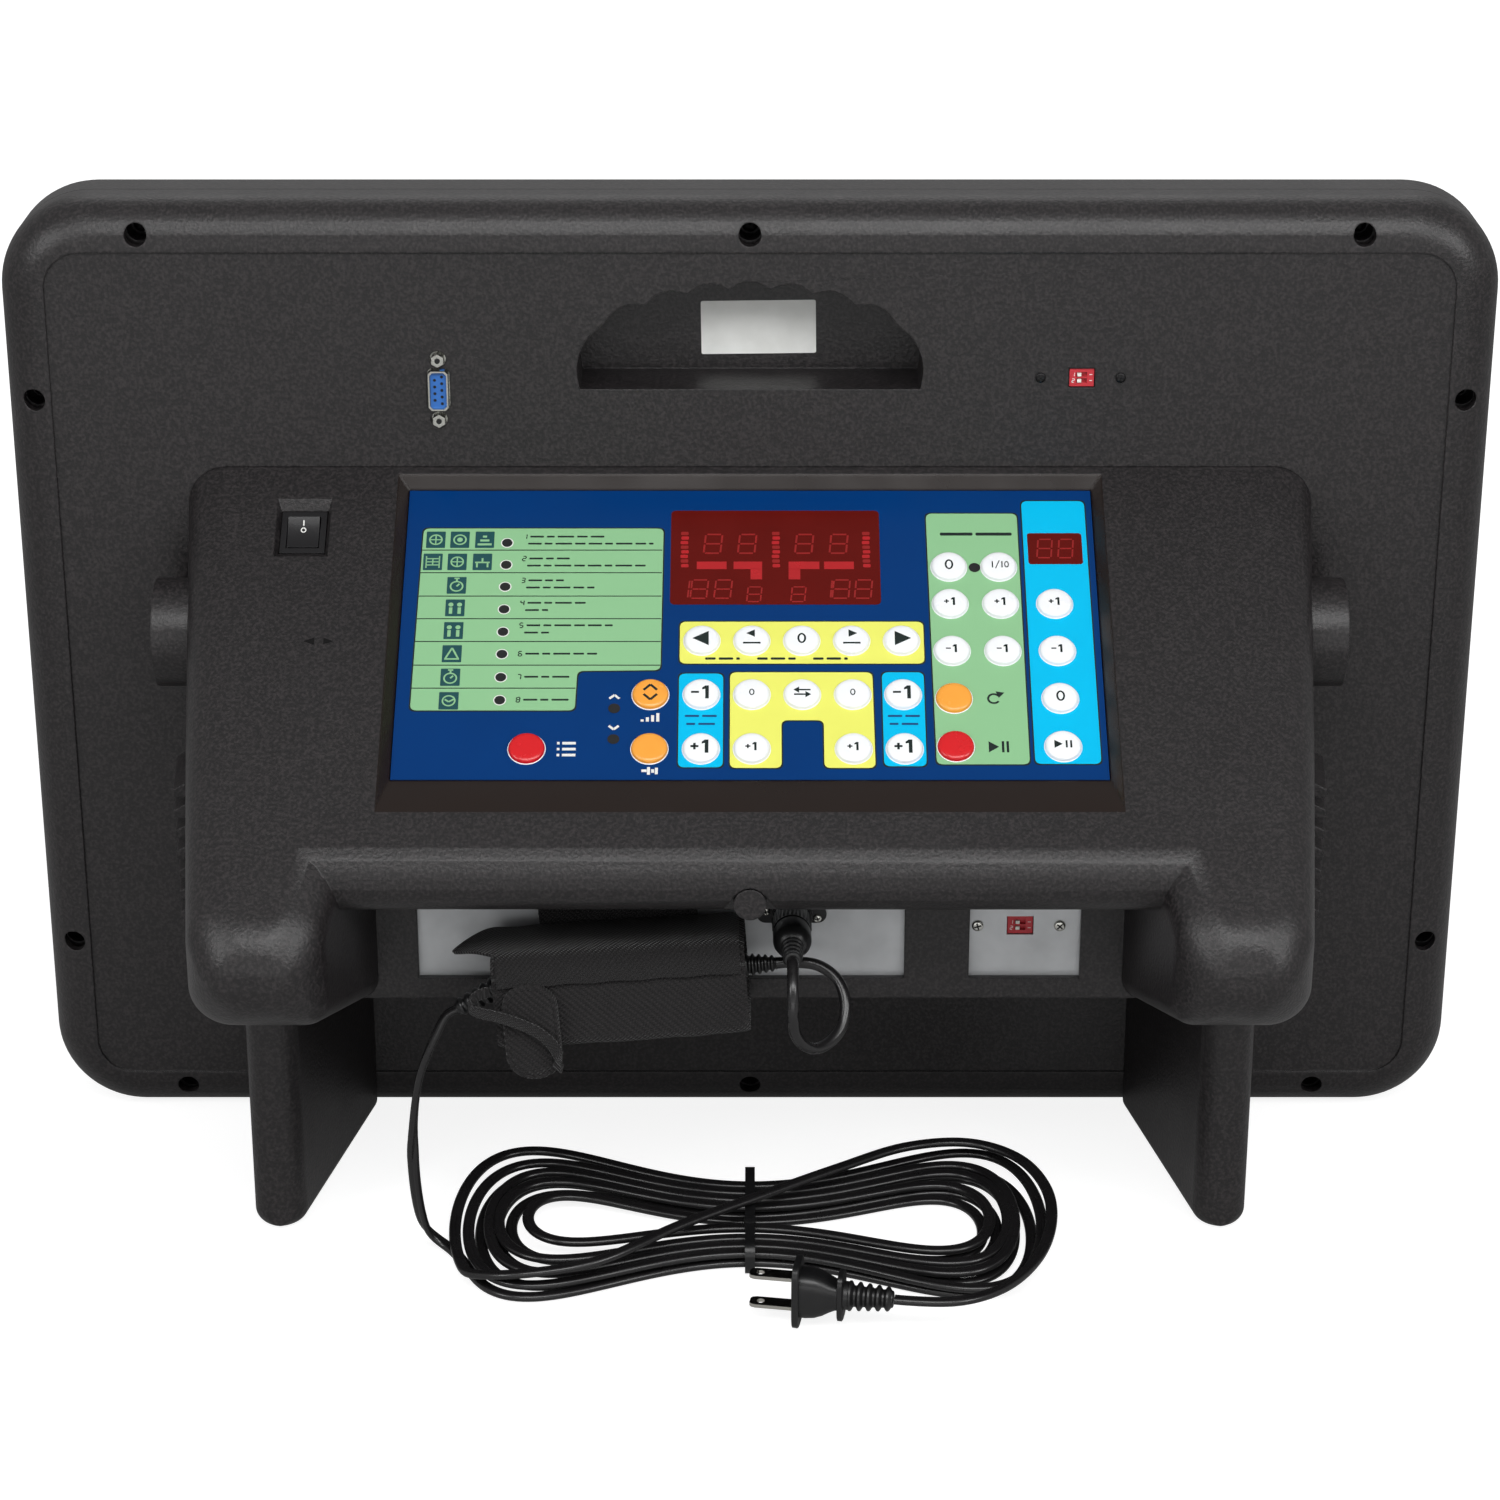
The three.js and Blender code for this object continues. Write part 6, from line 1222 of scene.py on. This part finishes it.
def thickSheet(grid, thickness):
    # a closed sheet: the grid and a copy moved along its normals, joined round the rim
    a = np.gradient(grid, axis=0)
    b = np.gradient(grid, axis=1)
    normal = np.cross(a, b)
    normal /= np.maximum(np.linalg.norm(normal, axis=2, keepdims=True), 1e-9)
    rows, columns = grid.shape[:2]
    under = grid - normal * thickness
    points = np.vstack([grid.reshape(-1, 3), under.reshape(-1, 3)])
    top, n = gridFaces(rows, columns), rows * columns
    rim = np.r_[np.arange(columns), np.arange(2, rows + 1) * columns - 1,
                np.arange(n - 2, (rows - 1) * columns - 1, -1), np.arange(rows - 2, 0, -1) * columns]
    after = np.roll(rim, -1)
    return points, np.vstack([top, top[:, ::-1] + n, np.stack([after, rim, rim + n, after + n], -1)]).tolist()


def makeSheet(name, grid, thickness, uvGrid):
    # a piece of webbing from a grid, its cloth laid by the same (along, across) in mm on both faces
    points, faces = thickSheet(grid, thickness)
    uv = uvGrid.reshape(-1, 2) / 1000
    makePiece(name, [outward(onPouch(points), faces)], "base", "webbing", [strapWeave], smooth=60,
              uv=np.vstack([uv, uv]))


# Top flap: over the upper face and its front edge, its left end drawn out to a tongue that droops
flap = {"proud": 0.9, "across": 30, "back": 14.0, "thick": 1.2, "tongueHigh": (27.0, 14.0), "tongueLow": 12.2,
        "droop": 3.0, "puff": 1.6, "ripple": 0.25}
across = np.linspace(0, 1, flap["across"])
along = np.r_[np.linspace(-pouch["flapLeft"], -half + 1.2, 22),
              np.linspace(-half + 1.6, half - 1.5, 50)][:, None]
r, proud = pouch["radius"], flap["proud"]
front, top = pouch["depth"] / 2 + proud, pouch["tall"] / 2 - pouch["lower"] + proud
level, arc = front - r + flap["back"], r * math.pi / 2
tongue = np.clip((-half + 1.4 - along) / (pouch["flapLeft"] - half + 1.4), 0, 1)
wide, taper = flap["tongueHigh"]
runHigh = np.where(tongue > 0, wide - taper * tongue ** 1.3, level + arc + pouch["flapDrop"])
runLow = flap["tongueLow"] * tongue ** 2
# Run over the section: level on top, then round the front edge, then straight down
runAt = runLow + (runHigh - runLow) * across
bend = np.clip((runAt - level) / arc, 0, 1) * math.pi / 2
yAt = np.where(runAt < level, -flap["back"] + runAt, front - r + r * np.sin(bend))
zAt = np.where(runAt < level, top, top - r + r * np.cos(bend)) - np.maximum(runAt - level - arc, 0)
puff = np.sin(math.pi * np.clip(runAt / (level + arc), 0, 1)) * (1 - tongue)
ripple = flap["ripple"] * np.sin(along * 0.35 + across * 2)
zAt = zAt - flap["droop"] * tongue ** 2 + flap["puff"] * puff + ripple
makeSheet("pouchFlap", np.stack(np.broadcast_arrays(along, yAt, zAt), -1), flap["thick"],
          np.stack(np.broadcast_arrays(along, runAt), -1))


def pillow(outline, low, high, lay):
    # padded tab: walls, a rolled edge, a sewn channel and a raised middle, as rings closed by fans
    steps = [(-1.2, low), (0.0, low + 0.5), (0.0, high - 0.7), (-0.6, high - 0.15), (-1.5, high),
             (-1.9, high - 0.4), (-2.3, high), (-5.0, high + 0.35), (-8.0, high + 0.5)]
    rings = np.stack([np.c_[grown(outline, by), np.full(len(outline), h)] for by, h in steps])
    points, faces = skin(rings)
    return (*outward(lay(points), faces), points[:, :2] / 1000)


def frontal(points):
    # (along, up, towards the front) to metres
    return onPouch(points[..., [0, 2, 1]])


tail = {"width": 21.6, "height": 40.0, "radius": 10.4, "centre": (-35.0, -13.4), "low": 17.2, "high": 20.6}
points, faces, tabUv = pillow(rounded(tail["width"], tail["height"], tail["radius"], 10, tail["centre"]),
                              tail["low"], tail["high"], frontal)
makePiece("pouchTail", [(points, faces)], "base", "webbing", [pouchTwill], smooth=60, uv=tabUv)

# Hanger: an upright sheet behind the sleeve that bows back in the middle of its height
hanger = {"half": 31, "foot": 8, "top": 35.0, "reach": -15.4, "bow": 0.8, "thick": 2.2}
hangX = np.linspace(-hanger["half"], hanger["half"], 20)[:, None]
hangZ = np.linspace(hanger["foot"], hanger["top"], 14)
bowed = hanger["reach"] - hanger["bow"] * np.sin(math.pi * np.linspace(0, 1, len(hangZ)))
makeSheet("pouchHanger", np.stack(np.broadcast_arrays(hangX, bowed, hangZ), -1), hanger["thick"],
          np.stack(np.broadcast_arrays(hangX, hangZ), -1))

strap = {"thick": 1.3, "wide": 4.6, "edge": 0.5, "step": 1.2, "uvStep": 0.4}
strapLine = spline([(-50.5, 15.5, 3.0), (-55.5, 18.5, 2.5), (-57.5, 20.5, -1.0), (-54, 22.0, -2.6),
                    (-48, 22.9, -4.0), (-40, 23.4, -7.2), (-32, 23.5, -12.0), (-27, 23.4, -18),
                    (-25.2, 22.9, -24), (-26.6, 21.8, -29)], 10)
strapPath = evenly(strapLine, strap["step"])
strapSection = rounded(strap["thick"], strap["wide"], strap["edge"], 3)
strapUv = np.stack(np.broadcast_arrays(np.linspace(0, lengthOf(strapPath), len(strapPath))[:, None],
                                       np.arange(len(strapSection)) * strap["uvStep"]), -1)
makePiece("pouchStrap", [skin(onPouch(swept(strapPath, strapSection)))], "base", "webbing", [strapWeave],
          smooth=60, uv=np.vstack([strapUv.reshape(-1, 2), [[0, 0], [0, 0]]]) / 1000)
print("pouch sewn")

# Screws: pan heads with a cross recess

screw = {"edge": 0.35, "bend": 1.35, "arm": 0.62, "bar": 0.26, "cross": (0.4, 1.02), "start": 0.6,
         "turn": 0.7}


def panHead(x, z, reach, radius, height, away=1):
    # dome of (radius, height) facing away from the case, and two bars of painted shade as its cross recess
    profile = [(0, 0), (radius, 0), (radius, height * screw["edge"])]
    profile += [(radius * math.cos(t * screw["bend"]),
                 height * (screw["edge"] + (1 - screw["edge"]) * math.sin(t * math.pi / 2)))
                for t in np.linspace(0, 1, 7)[1:]]
    points, faces = turned(np.array([x, reach, z]), np.array([0, away, 0]), profile + [(0, height)], 28)
    parts = [(*outward(onCase(points), faces), 0)]
    for quarter in (0, math.pi / 2):
        angle = screw["start"] + x * screw["turn"] + quarter
        way = np.array([math.cos(angle), math.sin(angle)]) * radius * screw["arm"]
        low, high = [height * share for share in screw["cross"]]
        parts.append((*slab([stroke(-way, way, radius * screw["bar"])], low, high,
                            plane(x, reach, z, away=away)), 1))
    return parts


wells = [(x, z, -20.0) for x in (-242.0, 0, 242.0) for z in (387.5, 12.5)]
wells += [(x, z, -20.0) for x in (-286.5, 286.5) for z in (320.0, 81.0)]
# Sets as (name, places, radius, height, slot, finish)
for name, places, radius, height, slotName, metal in (
        ("caseScrews", wells, 3.5, 2.2, "housing", blackSteel),
        ("upperSwitchScrews", [(116.0, 329.3, 0.0), (148.0, 329.3, 0.0)], 2.1, 1.1, "housing", blackSteel),
        ("lowerSwitchScrews", [(89.3, 138.0, 106.7), (121.5, 138.0, 106.7)], 2.3, 1.3, "plate", nickelPlate),
        ("socketScrews", [(26.4, 141.9, 108.2), (6.2, 144.9, 108.2)], 1.7, 1.0, "plate", nickelPlate)):
    parts = [part for spot in places for part in panHead(*spot, radius, height)]
    makePiece(name, parts, "base", slotName, [metal, holeShadePaint], smooth=35)

# Data port: blue insulator with nine bores, and the two hex posts' bores, each bore a thin dark disc of
# painted shade

port = {"x": -124.5, "height": 324.4, "pitch": 2.77, "columns": 2.84, "bore": 0.62, "back": -2.4,
        "front": 1.2, "corner": 1.6, "posts": 12.5, "postBore": 1.1, "postFace": (2.0, 2.95)}
portLay = plane(port["x"], 0, port["height"])
outline = roundedCorners([(-3.2, -7.6), (3.2, -8.5), (3.2, 8.5), (-3.2, 7.6)], port["corner"])
parts = [(*slab([outline], port["back"], port["front"], portLay), 0)]
for column, count in ((-0.5, 4), (0.5, 5)):
    for k in range(count):
        spot = ringOf(column * port["columns"], (k - (count - 1) / 2) * port["pitch"], port["bore"], 14)
        parts.append((*slab([spot], port["front"] - 0.3, port["front"] + 0.04, portLay), 1))
for side in (-1, 1):
    post = ringOf(0, side * port["posts"], port["postBore"], 18)
    parts.append((*slab([post], *port["postFace"], portLay), 1))
makePiece("portInsulator", parts, "base", "port_metal", [insulatorBlue, holeShadePaint], smooth=35)

# Coding switches: plain numerals and a short line beside the levers
switchMark = {"numeral": (0.9, 1.5, 0.28), "at": -3.4, "up": 1.25, "line": (3.0, 4.2, 0.3), "low": -0.1,
              "high": 0.05}
for name, x, z, reach in (("upperSwitchMarks", 132.5, 329.2, -0.6),
                          ("lowerSwitchMarks", 106.0, 138.0, 106.1)):
    lay, parts = plane(x, reach, z), []

    def mark(outline):
        # one flat loop of paint on the switch
        parts.append((*slab([outline], switchMark["low"], switchMark["high"], lay), 0))

    for side, only in ((1, numbers["one"]), (-1, numbers["two"])):
        up, (left, right, thick) = side * switchMark["up"], switchMark["line"]
        digit(0, 0, *switchMark["numeral"], 0, only, lambda o: mark(o * [1, -1] + [switchMark["at"], up]))
        mark(stroke((left, up), (right, up), thick))
    makePiece(name, parts, "base", "dip_body", [paintWhite], smooth=30)

# Bare label in the grip, and two small arrow heads on the deck: dark slabs of painted shade where the real
# arrows are moulded in relief
grip = {"x": 3.45, "reach": -29.0, "height": 342.0, "spin": 0.012, "size": (46.5, 22.2), "corner": 0.8,
        "low": -0.05, "high": 0.16}
gripBack = plane(grip["x"], grip["reach"], grip["height"], grip["spin"])
label = slab([rounded(*grip["size"], grip["corner"], 4)], grip["low"], grip["high"], gripBack)
makePiece("gripLabel", [(*label, 0)], "base", "housing", [paperLabel], smooth=30)
parts = [(*slab([np.array(o, float)], -0.1, 0.06, onDeck), 0) for o in
         ([(-173.8, 89.2), (-169.6, 87.4), (-169.6, 91.0)], [(-162.2, 89.2), (-166.0, 87.6), (-166.0, 90.8)])]
# The arrows' dark slabs in the blackened steel finish are painted shade of the moulded relief
makePiece("deckMarks", parts, "base", "housing", [blackSteel], smooth=30)

# Front numbers: dim bars of the unlit lamps on each block behind the smoked sheet

# Blocks as (across, up, width, height) in shares of the display's size
shows = {"width": 560.0, "height": 362.0, "middle": 200.0, "face": -39.9, "low": -0.05, "thick": 0.12,
         "digit": (0.62, 0.78, 0.12), "dotApart": 16, "dotRadius": 5.0, "colon": 0.2}
blocks = [(x, 0.2, 0.14, 0.36) for x in (-0.3, -0.135, 0.135, 0.3)]
blocks += [(x * s, -0.24, 0.095, 0.32) for s in (-1, 1) for x in (0.4, 0.29, 0.18)]
blocks += [(x, -0.27, 0.07, 0.2) for x in (-0.06, 0.06)]
parts, frontLay = [], plane(0, shows["face"], 0, away=-1)


def shown(outline):
    # one lamp bar behind the sheet
    parts.append((*slab([outline], shows["low"], shows["thick"], frontLay), 0))


for x, z, wide, tall in blocks:
    middle = np.array([x * shows["width"], shows["middle"] + z * shows["height"]])
    across, up, thick = shows["digit"]
    digit(0, 0, wide * shows["width"] * across, tall * shows["height"] * up, wide * shows["width"] * thick, 0,
          put=lambda o: shown(middle - o))
for side in (-1, 1):
    row = shows["middle"] + shows["colon"] * shows["height"] + side * shows["dotApart"]
    shown(ringOf(0, row, shows["dotRadius"], 24))
makePiece("frontNumbers", parts, "base", "circuit_board", [segmentPale], smooth=30)
print("small parts fitted")

# Power switch: a bar and a ring on the upper half of its key
power = {"above": 20.0, "rows": (-5.0, -1.0), "bar": (-5.4, -3.2, 0.5), "ring": (-1.3, 1.1, 0.68),
         "low": -0.2, "high": 0.08}
key = frame["nodes"]["rocker_key"].data
button = BVHTree.FromPolygons([v.co for v in key.vertices], [tuple(f.vertices) for f in key.polygons])
column, middleRow = deckPlaceOf("rocker_frame")
deckDown = Vector((0, slopeSin, -slopeCos))


def heightAt(row):
    # height of the key's top off the deck at a row, by a ray along the deck's normal
    start = Vector(onDeck([column, row, power["above"]]))
    return power["above"] - button.ray_cast(start, deckDown)[3] * 1000


rowsSeen = [middleRow + row for row in power["rows"]]
heights = [heightAt(row) for row in rowsSeen]


def onButton(points):
    # height follows the straight line between the two rows
    p = np.asarray(points, float)
    lift = heights[0] + (heights[1] - heights[0]) * (p[..., 1] - rowsSeen[0]) / (rowsSeen[1] - rowsSeen[0])
    return onDeck(np.stack([p[..., 0], p[..., 1], p[..., 2] + lift], -1))


top, foot, thick = power["bar"]
down, outer, inner = power["ring"]
shapes = [[stroke((column, middleRow + top), (column, middleRow + foot), thick)],
          [ringOf(column, middleRow + down, outer), ringOf(column, middleRow + down, inner)[::-1]]]
parts = [(*slab(shape, power["low"], power["high"], onButton), 0) for shape in shapes]
makePiece("powerMarks", parts, "rocker", "switch", [paintWhite], smooth=30)

# The leads' first points and whole routes turned to metres; the results are not kept
onCase(mainsPath[0])
onCase(mainsPath)
onCase(dcPath[0])
onCase(dcPath)
print("scene complete")
